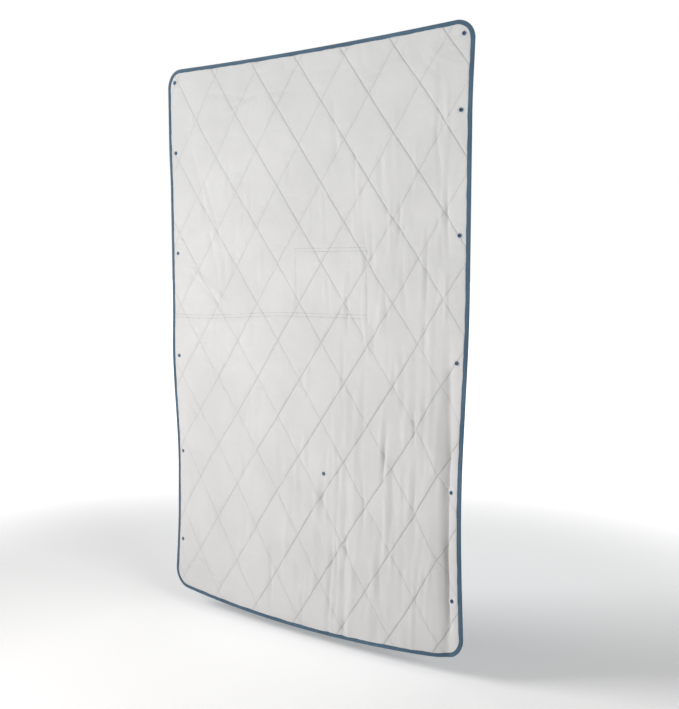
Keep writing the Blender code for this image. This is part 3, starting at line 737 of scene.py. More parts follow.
# %% Sweep the binding round the edge
BINDING_SECTION = (
    # inset from the blanket's edge, through (- is the lining's side)
    (0.0126, -0.0019), (0.0133, -0.0022), (0.0134, -0.0027), (0.0128, -0.0031), (0.0112, -0.0031),
    (0.0090, -0.0033), (0.0060, -0.0034), (0.0034, -0.0033), (0.0013, -0.0027), (-0.0001, -0.0016),
    (-0.0006, 0.0), (-0.0001, 0.0016), (0.0013, 0.0027), (0.0034, 0.0033), (0.0060, 0.0034),
    (0.0090, 0.0033), (0.0112, 0.0031), (0.0128, 0.0031), (0.0134, 0.0027), (0.0133, 0.0022),
    (0.0126, 0.0019), (0.0060, 0.0019), (0.0012, 0.0015), (0.0006, 0.0), (0.0012, -0.0015),
    (0.0060, -0.0019),
)
EDGE_STEP = 0.0044


def edge_stations():
    """Places round the blanket: a point of the inner rectangle, and the way out from it."""
    half_x = WIDTH / 2 - CORNER_RADIUS
    half_z = LENGTH / 2 - CORNER_RADIUS
    corners = ((1, 1), (-1, 1), (-1, -1), (1, -1))
    cores, turns = [], []
    arc_steps = round(CORNER_RADIUS * math.pi / 2 / EDGE_STEP)
    for turn, (sx, sz) in enumerate(corners):
        here = np.array((sx * half_x, sz * half_z - LENGTH / 2))
        next_x, next_z = corners[(turn + 1) % 4]
        there = np.array((next_x * half_x, next_z * half_z - LENGTH / 2))
        side_steps = round(float(np.linalg.norm(there - here)) / EDGE_STEP)
        for part in range(arc_steps):
            cores.append(here)
            turns.append((turn + part / arc_steps) * math.pi / 2)
        for part in range(side_steps):
            cores.append(here + (there - here) * part / side_steps)
            turns.append((turn + 1) * math.pi / 2)
    cores, turns = np.array(cores), np.array(turns)
    return cores, np.stack((np.cos(turns), np.sin(turns)), axis=-1)


edge_cores, edge_ways = edge_stations()
stations = len(edge_cores)


def beside_edge(inset):
    """Flat x and z at each station, `inset` inside the blanket's edge."""
    return (edge_cores + edge_ways * (CORNER_RADIUS - inset)[:, None]).T


lap = np.arange(stations) / stations * 2.0 * math.pi
waver = 0.0005 * np.sin(53 * lap + 1.0) + 0.0004 * np.sin(97 * lap + 2.0 * np.sin(11 * lap))
gather = 1.0 + 0.05 * np.sin(211 * lap + np.sin(17 * lap)) + 0.05 * np.sin(389 * lap + 2.0)
rings = []
for inset, through in BINDING_SECTION:
    loose = min(max(inset / BINDING_WIDTH, 0.0), 1.0)     # the fold is firm, the legs waver
    rings.append(place(*beside_edge(inset + waver * loose), through * gather))
binding_points = np.stack(rings, axis=1)
section_count = len(BINDING_SECTION)
ahead = (np.arange(stations) + 1) % stations
index = np.arange(stations * section_count).reshape(stations, section_count)
turned = np.roll(index, -1, axis=1)
binding_faces = np.stack((index, turned, turned[ahead], index[ahead]), axis=-1).reshape(-1, 4)
edge_strip = mesh_object("edge_strip", binding_points.reshape(-1, 3), binding_faces, BINDING_CLOTH)


def add_strip_uv(piece):
    """A UV map along the strip (u) and round its section (v), at the scale of the cloth map."""
    layer = piece.data.uv_layers.new(name="cloth")
    uv = np.empty((stations, section_count, 4, 2))
    run = np.arange(stations) * EDGE_STEP / 2
    next_run = run + EDGE_STEP / 2
    widths = np.linalg.norm(np.diff(np.array(BINDING_SECTION), axis=0), axis=1)
    girth = np.concatenate(([0.0], np.cumsum(widths), [widths.sum() + 0.0008])) / 2
    for corner, (u, v) in enumerate(((run, 0), (run, 1), (next_run, 1), (next_run, 0))):
        uv[:, :, corner, 0] = u[:, None]
        uv[:, :, corner, 1] = girth[None, v:section_count + v]
    layer.data.foreach_set("uv", uv.reshape(-1).astype(np.float32))


add_strip_uv(edge_strip)
check = bmesh.new()
check.from_mesh(edge_strip.data)
if check.calc_volume(signed=True) < 0:
    bmesh.ops.reverse_faces(check, faces=check.faces)
    check.to_mesh(edge_strip.data)
check.free()
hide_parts("edge_binding")
print("edge strip:", len(edge_strip.data.polygons), "faces round", round(stations * EDGE_STEP, 2), "m")

# %% [markdown]
# ## Stitches
# Thousands of stitches are far too many to lay by hand, and a drawn line would not show in the
# relief. Geometry Nodes does it: a row is a line of edges on the cloth, the tree walks along it at
# the stitch pitch, and stands one short length of thread at every step, turned to the row and to
# the cloth.

# %% A tree that sews along lines
def object_from(work, name, material=None):
    """Turn a bmesh into an object with its faces pointing outwards; not yet in the scene."""
    bmesh.ops.recalc_face_normals(work, faces=work.faces)
    mesh = bpy.data.meshes.new(name)
    work.to_mesh(mesh)
    work.free()
    if material:
        mesh.materials.append(material)
    mesh.shade_smooth()
    return bpy.data.objects.new(name, mesh)


def add_to_scene(piece):
    bpy.context.scene.collection.objects.link(piece)
    return piece


def one_stitch(length, width, height):
    """A short, slightly humped run of thread, pointed where it goes into the cloth."""
    work = bmesh.new()
    rings = []
    for x, wide, lift in ((-0.32, 0.85, 0.18), (0.0, 1.0, 0.30), (0.32, 0.85, 0.18)):
        ring = []
        for k in range(4):
            angle = math.pi / 4 + k * math.pi / 2
            ring.append(work.verts.new((
                x * length, math.cos(angle) * wide * width * 0.7,
                lift * height + math.sin(angle) * wide * height * 0.7)))
        rings.append(ring)
    ends = [work.verts.new((side * length / 2, 0.0, -height * 0.6)) for side in (-1, 1)]
    for first, second in zip(rings, rings[1:]):
        for k in range(4):
            work.faces.new((first[k], first[(k + 1) % 4], second[(k + 1) % 4], second[k]))
    for k in range(4):
        work.faces.new((rings[0][(k + 1) % 4], rings[0][k], ends[0]))
        work.faces.new((rings[-1][k], rings[-1][(k + 1) % 4], ends[1]))
    return object_from(work, "stitch_pattern")


def thread_finish(name, low, high):
    return grainy_finish(name, low, high, 900.0, 0.0003, detail=2.0, roughness=0.5, sheen=0.3, specular=0.4)


PALE_THREAD = thread_finish("pale_thread", (0.38, 0.39, 0.41), (0.50, 0.51, 0.53))
GREY_THREAD = thread_finish("grey_thread", (0.09, 0.105, 0.12), (0.13, 0.15, 0.17))
SLATE_THREAD = thread_finish("slate_thread", (0.06, 0.12, 0.17), (0.10, 0.18, 0.25))


def sewing_tree():
    """Lines in, thread out; inputs: Pitch, Stitch, Thread."""
    tree = bpy.data.node_groups.new("sew_along", "GeometryNodeTree")
    sockets = ("Lines", "Geometry"), ("Pitch", "Float"), ("Stitch", "Object"), ("Thread", "Material")
    for title, kind in sockets:
        tree.interface.new_socket(title, in_out="INPUT", socket_type="NodeSocket" + kind)
    tree.interface.new_socket("Seam", in_out="OUTPUT", socket_type="NodeSocketGeometry")
    given = add_node(tree, "NodeGroupInput").outputs
    curve = add_node(tree, "GeometryNodeMeshToCurve", {"Mesh": given["Lines"]}).outputs["Curve"]
    steps = add_node(tree, "GeometryNodeResampleCurve",
                     {"Curve": curve, "Length": given["Pitch"]}, mode="LENGTH").outputs["Curve"]
    tangent = add_node(tree, "GeometryNodeInputTangent").outputs["Tangent"]
    along = add_node(tree, "FunctionNodeAlignRotationToVector",
                     {"Vector": tangent}, axis="X").outputs["Rotation"]
    out = add_node(tree, "GeometryNodeInputNamedAttribute", values={"Name": "out"},
                   data_type="FLOAT_VECTOR").outputs["Attribute"]
    upright = add_node(tree, "FunctionNodeAlignRotationToVector",
                       {"Rotation": along, "Vector": out}, axis="Z", pivot_axis="X").outputs["Rotation"]
    stitch = add_node(tree, "GeometryNodeObjectInfo", {"Object": given["Stitch"]}).outputs["Geometry"]
    laid = add_node(tree, "GeometryNodeInstanceOnPoints",
                    {"Points": steps, "Instance": stitch, "Rotation": upright}).outputs["Instances"]
    real = add_node(tree, "GeometryNodeRealizeInstances", {"Geometry": laid}).outputs["Geometry"]
    thread = add_node(tree, "GeometryNodeSetMaterial",
                      {"Geometry": real, "Material": given["Thread"]}).outputs["Geometry"]
    add_node(tree, "NodeGroupOutput", {"Seam": thread})
    return tree


SEWING = sewing_tree()


def bake_modifiers(piece):
    """Keep the plain mesh that a piece's modifiers make, and remove them."""
    graph = bpy.context.evaluated_depsgraph_get()
    mesh = bpy.data.meshes.new_from_object(piece.evaluated_get(graph))
    piece.modifiers.clear()
    piece.data = mesh


def grow(piece, tree, **values):
    """Run a node tree on a piece with named inputs."""
    modifier = piece.modifiers.new("grow", "NODES")
    modifier.node_group = tree
    sockets = {item.name: item.identifier for item in tree.interface.items_tree if item.in_out == "INPUT"}
    for name, value in values.items():
        modifier[sockets[name]] = value
    bake_modifiers(piece)


QUILTING_PITCH = 0.0042
QUILTING_STITCH = (0.0036, 0.00042, 0.00042)     # length, width and height


def sew(name, runs, thread, pitch=QUILTING_PITCH, pattern=None):
    """Stitches (or another pattern) along runs, each run being (points, outward directions)."""
    points, edges, outs = [], [], []
    start = 0
    for run, out in runs:
        points.append(run)
        outs.append(out)
        count = len(run)
        edges += [(start + k, start + k + 1) for k in range(count - 1)]
        start += count
    mesh = bpy.data.meshes.new(name)
    mesh.from_pydata(np.concatenate(points).tolist(), edges, [])
    away = mesh.attributes.new("out", "FLOAT_VECTOR", "POINT")
    away.data.foreach_set("vector", np.concatenate(outs).astype(np.float32).ravel())
    seam = add_to_scene(bpy.data.objects.new(name, mesh))
    pattern = pattern or one_stitch(*QUILTING_STITCH)
    each = len(pattern.data.polygons)
    grow(seam, SEWING, Pitch=pitch, Stitch=pattern, Thread=thread)
    bpy.data.objects.remove(pattern)
    print(name + ":", len(seam.data.polygons) // each, "repeats")
    return seam


# %% [markdown]
# The rows are read straight from the cloth mesh, whose points lie on them exactly. A row stops
# just short of the binding.

# %% Quilting rows on both cloths
def vertex_normals(surface, faces):
    """Area-weighted normals of a quad surface."""
    first, second, third, fourth = (surface[faces[:, corner]] for corner in range(4))
    diagonal = np.cross(third - first, fourth - second)
    normals = np.zeros_like(surface)
    for corner in range(4):
        np.add.at(normals, faces[:, corner], diagonal)
    return normals / np.maximum(np.linalg.norm(normals, axis=1, keepdims=True), 1e-12)


ROW_CLEAR = 0.001                 # a row stops this far short of the binding
THREAD_LIFT = 0.0001              # thread lies this far above the cloth


def quilting_runs(surface, side, on_row, constant, varying):
    """One run of surface points per row, lifted by a hair towards the outside."""
    normals = vertex_normals(surface, quads) * side
    usable = on_row & inside & (inset_of(flat_x, flat_z) > BINDING_WIDTH + ROW_CLEAR)
    runs = []
    for row in np.unique(grid_place[usable, constant]):
        chosen = np.nonzero(usable & (grid_place[:, constant] == row))[0]
        chosen = chosen[np.argsort(grid_place[chosen, varying])]
        breaks = np.nonzero(np.diff(grid_place[chosen, varying]) > 1)[0] + 1
        for part in np.split(chosen, breaks):
            if len(part) > 2:
                runs.append((surface[part] + normals[part] * THREAD_LIFT, normals[part]))
    return runs


seams = []
for name, surface, side, thread in (
    ("lining", lining_surface, -1, PALE_THREAD), ("shell", shell_surface, 1, SLATE_THREAD),
):
    rising = quilting_runs(surface, side, on_t_row, 1, 0)
    falling = quilting_runs(surface, side, on_s_row, 0, 1)
    seams += [sew(name + "_rising_rows", rising, thread), sew(name + "_falling_rows", falling, thread)]

# %% [markdown]
# The stuff pocket is sewn through the whole quilt, so its rows show on the lining as double lines.
# The binding has one row near its inner fold, on both sides.

# %% Pocket rows and binding rows
RUN_STEP = 0.003
ABOVE_CLOTH = 0.0003              # a row that crosses puffs lies this far above the cloth's rule
POCKET_PITCH = 0.0034
BINDING_PITCH = 0.0038
BINDING_ROW = (0.0020, 0.0034)    # outside the strip's inner edge, and through the thickness


def straight_run(x0, z0, x1, z1, through):
    """Points and outward directions along a straight seam; `through` may vary along it."""
    count = max(int(math.hypot(x1 - x0, z1 - z0) / RUN_STEP), 3)
    x, z = np.linspace(x0, x1, count), np.linspace(z0, z1, count)
    depth = through(x, z) if callable(through) else np.full(count, through)
    return place(x, z, depth), hang_normal(x, z) * np.sign(depth)[:, None]


def cloth_face(x, z):
    return half_loft(x, z) + ABOVE_CLOTH


POCKET_STITCH = (0.0031, 0.0009, 0.0006)     # length, width and height
SIDE_STITCH = (0.0031, 0.0006, 0.0004)
level_runs, upright_runs = [], []
for x0, z0, x1, z1 in seam_rows():
    x0 = max(x0, BINDING_WIDTH - WIDTH / 2)
    run = straight_run(x0, z0, x1, z1, lambda x, z: -cloth_face(x, z))
    (level_runs if z0 == z1 else upright_runs).append(run)
for name, runs, thread, stitch in (
    ("lining_pocket_rows", level_runs, GREY_THREAD, POCKET_STITCH),
    ("lining_pocket_sides", upright_runs, PALE_THREAD, SIDE_STITCH),
):
    seams.append(sew(name, runs, thread, POCKET_PITCH, one_stitch(*stitch)))

for name, side in (("front", -1), ("rear", 1)):
    x, z = beside_edge(np.full(stations, BINDING_WIDTH - BINDING_ROW[0]))
    ring = place(x, z, side * BINDING_ROW[1] * gather)
    out = hang_normal(x, z) * side
    closed = np.arange(stations + 1) % stations
    seams.append(sew(f"binding_row_{name}", [(ring[closed], out[closed])], SLATE_THREAD, BINDING_PITCH))

# %% [markdown]
# ## Press snaps
# A snap half is a turned shape, so each is one profile spun round its own axis: a cap with a post
# through the cloth, the stud's raised ring, and the socket's cup. Each stands in the cloth's own
# plane where its hole is.

# %% Snap profiles, in millimetres from the axis and from the middle of the cloth
CAP_TURNING = (
    (0.0, 3.92), (1.4, 3.94), (2.1, 4.04), (4.6, 4.10), (5.4, 4.02), (6.2, 3.74), (6.75, 3.32), (7.0, 2.85),
    (6.95, 2.5), (6.75, 2.33), (6.0, 2.3), (1.6, 2.3), (1.6, -3.55), (2.3, -3.6), (2.6, -3.8), (2.45, -4.02),
    (1.8, -4.1), (0.0, -4.12),
)
STUD_TURNING = (
    (2.0, -2.3), (5.6, -2.3), (5.95, -2.42), (6.0, -2.75), (5.8, -3.05), (5.0, -3.25), (4.25, -3.4),
    (3.95, -3.7), (3.75, -4.3), (3.8, -4.8), (4.05, -5.3), (4.1, -5.65), (3.95, -5.95), (3.6, -6.1),
    (3.3, -6.0), (3.2, -5.6), (3.2, -3.3), (3.0, -3.2), (2.0, -3.2),
)
SOCKET_TURNING = (
    (2.0, -2.3), (5.8, -2.3), (6.15, -2.45), (6.2, -2.8), (6.2, -5.0), (6.1, -5.5), (5.8, -5.85),
    (5.4, -6.0), (4.5, -6.0), (4.15, -5.85), (4.1, -5.6), (4.3, -5.2), (4.6, -4.8), (4.65, -4.4),
    (4.6, -3.25), (4.3, -3.2), (2.0, -3.2),
)
SNAP_SIDES = 40
SNAP_SHARP = math.radians(42)     # edges sharper than this stay sharp


def plastic_finish():
    """Moulded plastic: flow lines in the colour, and a finer grain in the relief."""
    material, tree, shader = new_finish("slate_snap_plastic", 0.32, coat=0.15)
    spot = object_place(tree)
    blue = mixed_color(tree, noise(tree, spot, 380.0), (0.030, 0.085, 0.160), (0.042, 0.105, 0.190))
    tree.links.new(blue, shader.inputs["Base Color"])
    tree.links.new(bump(tree, noise(tree, spot, 2600.0, 2.0), 0.00004), shader.inputs["Normal"])
    return material


SNAP_PLASTIC = plastic_finish()


def turned_snap(name, turning, closed, x, z, cap_on_lining):
    """Spin a profile and stand it at the flat point (x, z), its cap end to the cap's side."""
    at_x, at_z = np.array([x]), np.array([z])
    centre = Vector(hang(at_x, at_z)[0])
    outward = Vector(hang_normal(at_x, at_z)[0]) * (-1.0 if cap_on_lining else 1.0)
    across = Vector((hang(at_x + 0.001, at_z) - hang(at_x - 0.001, at_z))[0]).normalized()
    upward = outward.cross(across)
    work = bmesh.new()
    rings = []
    for radius, height in turning:
        around = 1 if radius == 0.0 else SNAP_SIDES
        ring = []
        for k in range(around):
            angle = 2.0 * math.pi * k / SNAP_SIDES
            spot = across * math.cos(angle) * radius + upward * math.sin(angle) * radius
            ring.append(work.verts.new(centre + (spot + outward * height) / 1000.0))
        rings.append(ring)
    pairs = list(zip(rings, rings[1:] + rings[:1]))
    for first, second in pairs if closed else pairs[:-1]:
        for k in range(SNAP_SIDES):
            following = (k + 1) % SNAP_SIDES
            corners = [first[k % len(first)], second[k % len(second)]]
            corners += [second[following]] if len(second) > 1 else []
            corners += [first[following]] if len(first) > 1 else []
            work.faces.new(corners)
    piece = add_to_scene(object_from(work, name, SNAP_PLASTIC))
    piece.data.set_sharp_from_angle(angle=SNAP_SHARP)
    return piece


snaps = []
for label, x, z in snap_places:
    cap_on_lining = not label.startswith("right")
    partner = ("stud", STUD_TURNING) if cap_on_lining else ("socket", SOCKET_TURNING)
    for kind, turning, closed in (("cap", CAP_TURNING, False), (*partner, True)):
        half = turned_snap(f"press_{kind}_{label}", turning, closed, x, z, cap_on_lining)
        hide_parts(f"snap_{kind}_{label}")
        snaps.append(half)
print("snap halves:", len(snaps))

# %% [markdown]
# ## Stuff pocket
# The pocket is a single cloth sewn to the shell along three sides, with a zip along its mouth. It
# does not follow the quilting under it: it is stretched over the puffs, so its height depends only
# on how near its own seams are.

# %% Pocket cloth
PANEL_TOP = POCKET_TOP - 0.010
PANEL_EDGE = 0.0031               # through the thickness: at its seams
PANEL_MIDDLE = 0.0056             # and in the middle
PANEL_SHOULDER = 0.035            # the rise between them is this wide
FABRIC = 0.0005                   # thickness of the pocket cloth and of the tapes


def panel_height(x, z):
    from_side = np.minimum(np.minimum(x - POCKET_LEFT, POCKET_RIGHT - x), z - POCKET_FOOT)
    rise = 1.0 - (1.0 - np.clip(from_side / PANEL_SHOULDER, 0.0, 1.0)) ** 3
    slack = 0.0005 * np.sin(61.0 * x + 2.0 * np.sin(23.0 * z)) * rise
    return PANEL_EDGE + (PANEL_MIDDLE - PANEL_EDGE) * rise + slack


def grid_piece(name, x_range, z_range, counts, outer, material):
    """A closed flat-cut piece on the shell's side, its outer face at the height `outer` gives."""
    lines = np.linspace(*x_range, counts[0]), np.linspace(*z_range, counts[1])
    x, z = np.meshgrid(*lines, indexing="ij")
    faces = grid_quads(x.shape).reshape(-1, 4)
    if z_range[1] > z_range[0]:           # laid upwards, the faces would point inwards
        faces = faces[:, ::-1]
    x, z = x.ravel(), z.ravel()
    height = outer(x, z)
    points, faces = closed_layers(place(x, z, height), place(x, z, height - FABRIC), faces)
    piece = mesh_object(name, points, faces, material)
    add_cloth_uv(piece, np.tile(x, 2), np.tile(z, 2))
    return piece


pocket_cloth = grid_piece("pocket_cloth", (POCKET_LEFT, POCKET_RIGHT), (POCKET_FOOT, PANEL_TOP),
                          (99, 71), panel_height, SHELL_CLOTH)
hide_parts("pocket_panel")

hem_left, hem_right = POCKET_LEFT + SIDE_INSET, POCKET_RIGHT - SIDE_INSET
hem_foot = POCKET_FOOT + SIDE_INSET
pocket_hem = [(x, PANEL_TOP - 0.001, x, hem_foot) for x in (hem_left, hem_right)]
pocket_hem += [(hem_left, z, hem_right, z) for z in (hem_foot, hem_foot + 0.005, PANEL_TOP - SIDE_INSET)]
hem_runs = [straight_run(*row, lambda x, z: panel_height(x, z) + THREAD_LIFT) for row in pocket_hem]
for side, right in ((-1, POCKET_RIGHT), (1, POCKET_LEFT - 0.001)):
    z = POCKET_FOOT + side * ROW_GAP / 2
    hem_runs.append(straight_run(BINDING_WIDTH - WIDTH / 2, z, right, z, cloth_face))
seams.append(sew("pocket_hem_rows", hem_runs, SLATE_THREAD, POCKET_PITCH))

# %% [markdown]
# The zip: two woven tapes, a nylon coil along the edge of each, a crimped stop at both ends, and a
# slider with its pull. The coil is the stitch tree again with another pattern, one turn of the coil.

# %% Zip tapes, coils and stops
ZIP_LEFT, ZIP_RIGHT = -0.0327, 0.2547
ZIP_GAP = 0.0019                  # from the zip's middle to the middle of a coil
COIL_MIDDLE = 0.0064              # through the thickness
COIL_PITCH = 0.00125
TAPE_RANGE = (-0.027, 0.249)
TAPE_EDGES = (0.0033, 0.014)      # from the zip's middle to the tape's two edges
TAPE_HIGH = 0.00665               # its outer face beside the coil
TAPE_LOW = 0.0048                 # and where it is sewn down
TAPE_BEND = (0.0062, 0.0020)      # where it starts to come down, and over how far


def tape_height(x, z):
    lowered = ease((np.abs(z - POCKET_TOP) - TAPE_BEND[0]) / TAPE_BEND[1])
    return TAPE_HIGH - (TAPE_HIGH - TAPE_LOW) * lowered


def one_turn(wire=0.00026, across=0.0022, height=0.0016, lean=0.0002):
    """One turn of the coil, a long leaning loop of round wire across the row."""
    work = bmesh.new()
    around, section = 12, 5
    rings = []
    for k in range(around):
        angle = 2.0 * math.pi * k / around
        y = math.cos(angle) * (across / 2 - wire)
        z = math.sin(angle) * (height / 2 - wire)
        ring = []
        for j in range(section):
            turn = 2.0 * math.pi * j / section
            out = 1.0 + math.cos(turn) * wire / math.hypot(y, z)
            x = math.sin(turn) * wire + lean * math.sin(angle)
            ring.append(work.verts.new((x, y * out, z * out)))
        rings.append(ring)
    for k in range(around):
        for j in range(section):
            following, beside = (k + 1) % around, (j + 1) % section
            work.faces.new((rings[k][j], rings[k][beside], rings[following][beside], rings[following][j]))
    return object_from(work, "turn_pattern")


ZIP_NYLON = grainy_finish("slate_zip_nylon", (0.035, 0.075, 0.115), (0.050, 0.098, 0.145), 900.0, 0.0001,
                          roughness=0.4)
ZIP_METAL = grainy_finish("grey_zinc", (0.42, 0.43, 0.44), (0.55, 0.56, 0.57), 1500.0, 0.00003,
                          roughness=0.34, metallic=1.0)
TAPE_WEAVE = cloth_finish(
    "slate_tape_weave", (0.035, 0.085, 0.135), (0.050, 0.105, 0.160),
    roughness=0.7, sheen=0.2, threads=700.0, grain=0.00020, crumple=0.0002)

zip_parts = {}
for label, side in (("upper", 1), ("lower", -1)):
    edges = [POCKET_TOP + side * edge for edge in TAPE_EDGES]
    tape = grid_piece(f"tape_{label}", TAPE_RANGE, edges, (93, 12), tape_height, TAPE_WEAVE)
    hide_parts(f"zip_tape_{label}")
    start = ZIP_LEFT + 0.0008 + (COIL_PITCH / 2 if side < 0 else 0.0)    # the turns interlock
    z = POCKET_TOP + side * ZIP_GAP
    row = straight_run(start, z, ZIP_RIGHT - 0.0006, z, COIL_MIDDLE)
    coil = sew(f"coil_{label}", [row], ZIP_NYLON, COIL_PITCH, one_turn())
    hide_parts(f"zip_coil_{label}")
    zip_parts[tape], zip_parts[coil] = "zip_tape", "zip_coil"

METAL_SHARP = math.radians(50)


def add_block(work, low, high):
    """Add a block between two corners to a mesh being built; finish_metal rounds it."""
    low, high = Vector(low), Vector(high)
    bmesh.ops.create_cube(work, size=1.0, matrix=Matrix.LocRotScale((low + high) / 2, None, high - low))


def finish_metal(name, work, width):
    """Make a zinc piece, its edges rounded over `width`."""
    piece = add_to_scene(object_from(work, name, ZIP_METAL))
    edge = piece.modifiers.new("edge", "BEVEL")
    edge.width = width
    edge.segments = 3
    edge.limit_method = "ANGLE"
    bake_modifiers(piece)
    piece.data.shade_smooth()
    piece.data.set_sharp_from_angle(angle=METAL_SHARP)
    return piece


STAPLE_RIBS = 3                   # a crimped staple: a core and three ribs round it
RIB_PITCH = 0.00105
for label, left in (("closed_end", ZIP_RIGHT + 0.0003), ("open_end", POCKET_LEFT)):
    work = bmesh.new()
    blocks = [(left + rib * RIB_PITCH, 0.00088, 0.0054 + 0.0001 * (rib == 1), 0.0074, 0.0030)
              for rib in range(STAPLE_RIBS)]
    blocks += [(left + 0.0002, 0.0026, 0.0055, 0.0071, 0.0026)]
    for x, long, inner, outer, half_wide in blocks:
        add_block(work, (x, inner, POCKET_TOP - half_wide), (x + long, outer, POCKET_TOP + half_wide))
    stop = finish_metal(f"staple_{label}", work, 0.00018)
    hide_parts(f"zip_stop_{label}")
    zip_parts[stop] = "zip_zinc"

# %% [markdown]
# The slider is two plates round the coils, joined by a thin wedge between them, with side walls
# that stop short of the tapes and an arched bridge. The pull is a flat tab whose end bar runs
# under that bridge, so it can turn.

# %% Slider and pull
SLIDER_X = 0.2494
PULL_AXIS = 0.0095                # through the thickness
EDGE_ROUND = 0.00022
PULL_THICK = 0.0010


def slider_point(work, x, y, z):
    return work.verts.new((SLIDER_X + x, y, POCKET_TOP + z))


def plate(work, outline, low, high):
    """A flat plate with the outline (x, z), between two heights through the quilt."""
    rings = [[slider_point(work, x, y, z) for x, z in outline] for y in (low, high)]
    count = len(outline)
    for ring in rings:
        work.faces.new(ring)
    for k in range(count):
        following = (k + 1) % count
        work.faces.new((rings[0][k], rings[0][following], rings[1][following], rings[1][k]))


shield = [(0.0050, 0.0026), (0.0038, 0.0041), (0.0010, 0.0045), (-0.0038, 0.0037), (-0.0050, 0.0026)]
shield += [(x, -z) for x, z in reversed(shield)]
work = bmesh.new()
plate(work, shield, 0.0076, 0.0085)
plate(work, shield, 0.0043, 0.0052)
plate(work, [(0.0048, 0.0005), (0.0020, 0.0004), (0.0020, -0.0004), (0.0048, -0.0005)], 0.0050, 0.0078)
side_wall = [(0.0036, 0.0040), (-0.0036, 0.0034), (-0.0036, 0.0038), (0.0010, 0.0045), (0.0036, 0.0043)]
for side in (1, -1):
    plate(work, [(x, side * z) for x, z in side_wall], 0.0069, 0.0078)

BRIDGE_ARCS = ((0.0034, 0.0028), (0.0026, 0.0021))     # half length and rise, outside and inside
BRIDGE_FOOT = 0.0083
BRIDGE_HALF_WIDTH = 0.0011
BRIDGE_STEPS = 12


def bridge_corners(work, angle):
    """The four corners of the bridge's section at an angle round its arch."""
    corners = []
    for (half_length, rise), ways in zip(BRIDGE_ARCS, ((-1, 1), (1, -1))):
        x, y = half_length * math.cos(angle), BRIDGE_FOOT + rise * math.sin(angle)
        corners += [slider_point(work, x, y, way * BRIDGE_HALF_WIDTH) for way in ways]
    return corners


sections = [bridge_corners(work, math.pi * k / BRIDGE_STEPS) for k in range(BRIDGE_STEPS + 1)]
for here, ahead in zip(sections, sections[1:]):
    for k in range(4):
        work.faces.new((here[k], here[(k + 1) % 4], ahead[(k + 1) % 4], ahead[k]))
for end in (sections[0], sections[-1]):
    work.faces.new(end)
slider = finish_metal("slider_body", work, EDGE_ROUND)
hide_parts("zip_slider")

# The pull, from its end bar to its tip: place along it, half width, half width of its holes.
PULL_CUTS = np.array((
    (0.00045, 0.0026, 0.0016), (-0.00045, 0.0026, 0.0016), (-0.0039, 0.0022, 0.0011),
    (-0.0080, 0.0026, 0.0010), (-0.0210, 0.0026, 0.0010), (-0.0232, 0.0022, 0.0008),
    (-0.0240, 0.0014, 0.0006),
))
along, half_width, hole = PULL_CUTS.T
tab_z = POCKET_TOP + np.stack((-half_width, -hole, hole, half_width), axis=1)
tab_x = SLIDER_X + np.repeat(along[:, None], 4, axis=1)
cells = grid_quads(tab_x.shape)
solid = np.ones(cells.shape[:2], bool)
solid[1, 1] = solid[3, 1] = False     # the eye for the bridge and the grip window
outer_y = np.full(tab_x.size, PULL_AXIS + PULL_THICK / 2)
top = np.stack((tab_x.ravel(), outer_y, tab_z.ravel()), axis=-1)
points, faces = closed_layers(top, top - np.array([0.0, PULL_THICK, 0.0]), cells[solid])
work = bmesh.new()
corners = [work.verts.new(point) for point in points]
for face in faces:
    work.faces.new([corners[k] for k in face])
pull = finish_metal("pull_tab", work, EDGE_ROUND)
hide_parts("zip_pull")
print("zip parts:", len(zip_parts) + 2)

# %% [markdown]
# ## Camera, light and floor
# Two soft suns stand for windows to the left and the right: they draw the seams and lay the two
# shadows on the floor. A small lamp close to the left makes the tone fall off across the cloth, a
# wide warm one near the floor stands for the light that the paper throws back, and one behind
# shows the shell. White surroundings fill the rest.

# %% Camera
AZIMUTH, ELEVATION = math.radians(34.7), math.radians(5.4)
level_back = Vector((math.sin(AZIMUTH), -math.cos(AZIMUTH), 0.0)) * math.cos(ELEVATION)
back = level_back + Vector((0.0, 0.0, math.sin(ELEVATION)))
eye = add_to_scene(bpy.data.objects.new("camera", bpy.data.cameras.new("camera")))
eye.data.lens = 45.0
eye.location = (1.836, -2.439, -0.736)
eye.rotation_euler = (-back).to_track_quat("-Z", "Y").to_euler()
bpy.context.scene.camera = eye

# %% Light and floor
def add_light(name, kind, power, travel):
    """A lamp of a kind that shines along `travel`; returns its object."""
    lamp = bpy.data.lights.new(name, kind)
    lamp.energy = power
    holder = add_to_scene(bpy.data.objects.new(name, lamp))
    holder.rotation_euler = travel.to_track_quat("-Z", "Y").to_euler()
    return holder


def soft_light(name, place_at, aim, size, power, color=(1.0, 1.0, 1.0)):
    """A square lamp of the size, from one place towards another."""
    holder = add_light(name, "AREA", power, Vector(aim) - Vector(place_at))
    holder.location = place_at
    holder.data.shape = "SQUARE"
    holder.data.size = size
    holder.data.color = color


def sun_light(name, travel, strength, spread):
    """A sun whose disc is `spread` degrees wide, which softens its shadows."""
    holder = add_light(name, "SUN", strength, Vector(travel))
    holder.data.angle = math.radians(spread)


sun_light("left_window", (0.82, 0.42, -0.58), 1.5, 24.0)
sun_light("right_window", (-0.95, 0.16, -0.42), 1.3, 34.0)
soft_light("key", (-0.95, -1.3, -0.75), (0.0, 0.0, -0.9), 0.35, 5.0, (1.0, 0.99, 0.985))
soft_light("floor_glow", (-0.4, -1.5, -1.9), (-0.2, 0.0, -1.7), 1.2, 6.5, (1.0, 0.90, 0.84))
soft_light("rear", (-1.2, 3.4, 0.6), (0.0, 0.0, -1.0), 2.0, 18.0)

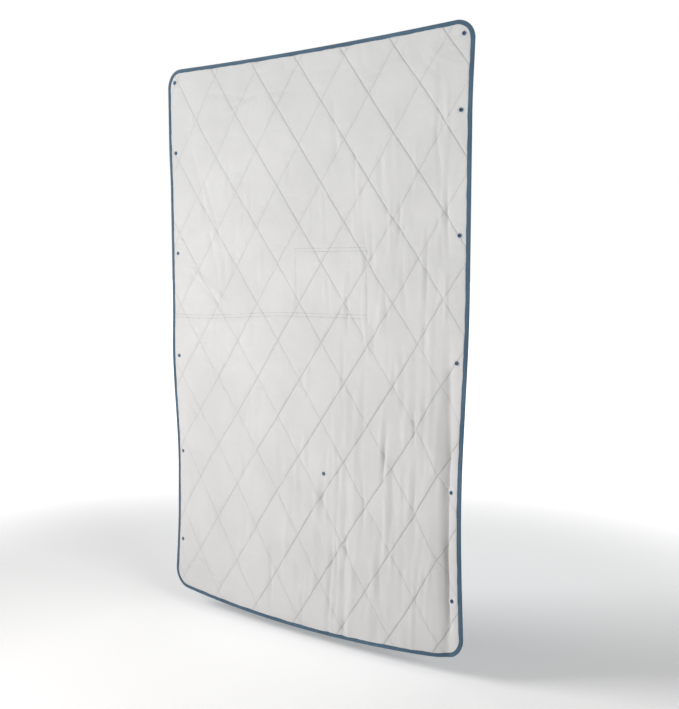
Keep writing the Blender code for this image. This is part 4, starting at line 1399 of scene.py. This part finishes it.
ROOM_LIGHT = 0.20                 # the room looks white, but lights with this much of it
FLOOR_FADE = (2.45, 3.9)          # far out the paper fades into the white room
# the paper's own glow, near and far out: painted light on the floor that also lifts the shadows on it
FLOOR_GLOW = (0.14, 0.8)
FLOOR_HALF = 90                   # metres: past the horizon

world = bpy.data.worlds.new("white_room")
bpy.context.scene.world = world
world.use_nodes = True
room = world.node_tree.nodes["Background"]
room.inputs["Color"].default_value = (1.0, 1.0, 1.0, 1.0)
seen = add_node(world.node_tree, "ShaderNodeLightPath").outputs["Is Camera Ray"]
level = add_node(world.node_tree, "ShaderNodeMapRange", {"Value": seen},
                 {"To Min": ROOM_LIGHT, "To Max": 1.0})
world.node_tree.links.new(level.outputs["Result"], room.inputs["Strength"])
bpy.context.scene.view_settings.view_transform = "Standard"

FLOOR_HEIGHT = -2.03
paper, tree, shader = new_finish("floor_paper", 0.9, specular=0.0)
shader.inputs["Emission Color"].default_value = (1.0, 1.0, 1.0, 1.0)
spot = object_place(tree)
tone = mixed_color(tree, noise(tree, spot, 60.0), (0.91, 0.91, 0.91), (0.93, 0.93, 0.93))
tree.links.new(tone, shader.inputs["Base Color"])
reach = add_node(tree, "ShaderNodeVectorMath", {0: spot}, operation="LENGTH").outputs["Value"]
glow = add_node(tree, "ShaderNodeMapRange", {"Value": reach}, {
    "From Min": FLOOR_FADE[0], "From Max": FLOOR_FADE[1], "To Min": FLOOR_GLOW[0], "To Max": FLOOR_GLOW[1],
}, interpolation_type="SMOOTHSTEP")
tree.links.new(glow.outputs["Result"], shader.inputs["Emission Strength"])
corners = [(x, y, FLOOR_HEIGHT) for x, y in ((-1, -1), (1, -1), (1, 1), (-1, 1))]
floor = mesh_object("floor", np.array(corners) * (FLOOR_HALF, FLOOR_HALF, 1.0), [(0, 1, 2, 3)], paper)
print("lights:", len(bpy.data.lights), "and a floor at", FLOOR_HEIGHT)

# %% [markdown]
# ## Riding pieces and finishes
# Nearly everything is sewn to the blanket and rides on it; only the slider and its pull move.

# %% Ride, declare and finish
for piece in [lining, shell, wadding, edge_strip, pocket_cloth, *seams, *snaps, *zip_parts]:
    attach(piece, "blanket")
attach(slider, "zip_slider")
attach(pull, "zip_pull")
finished_as = {
    **dict.fromkeys(snaps, "snap_plastic"), **zip_parts, slider: "zip_zinc", pull: "zip_zinc",
    lining: "lining_cloth", shell: "shell_cloth", pocket_cloth: "shell_cloth",
    wadding: "wadding", edge_strip: "binding_cloth",
}
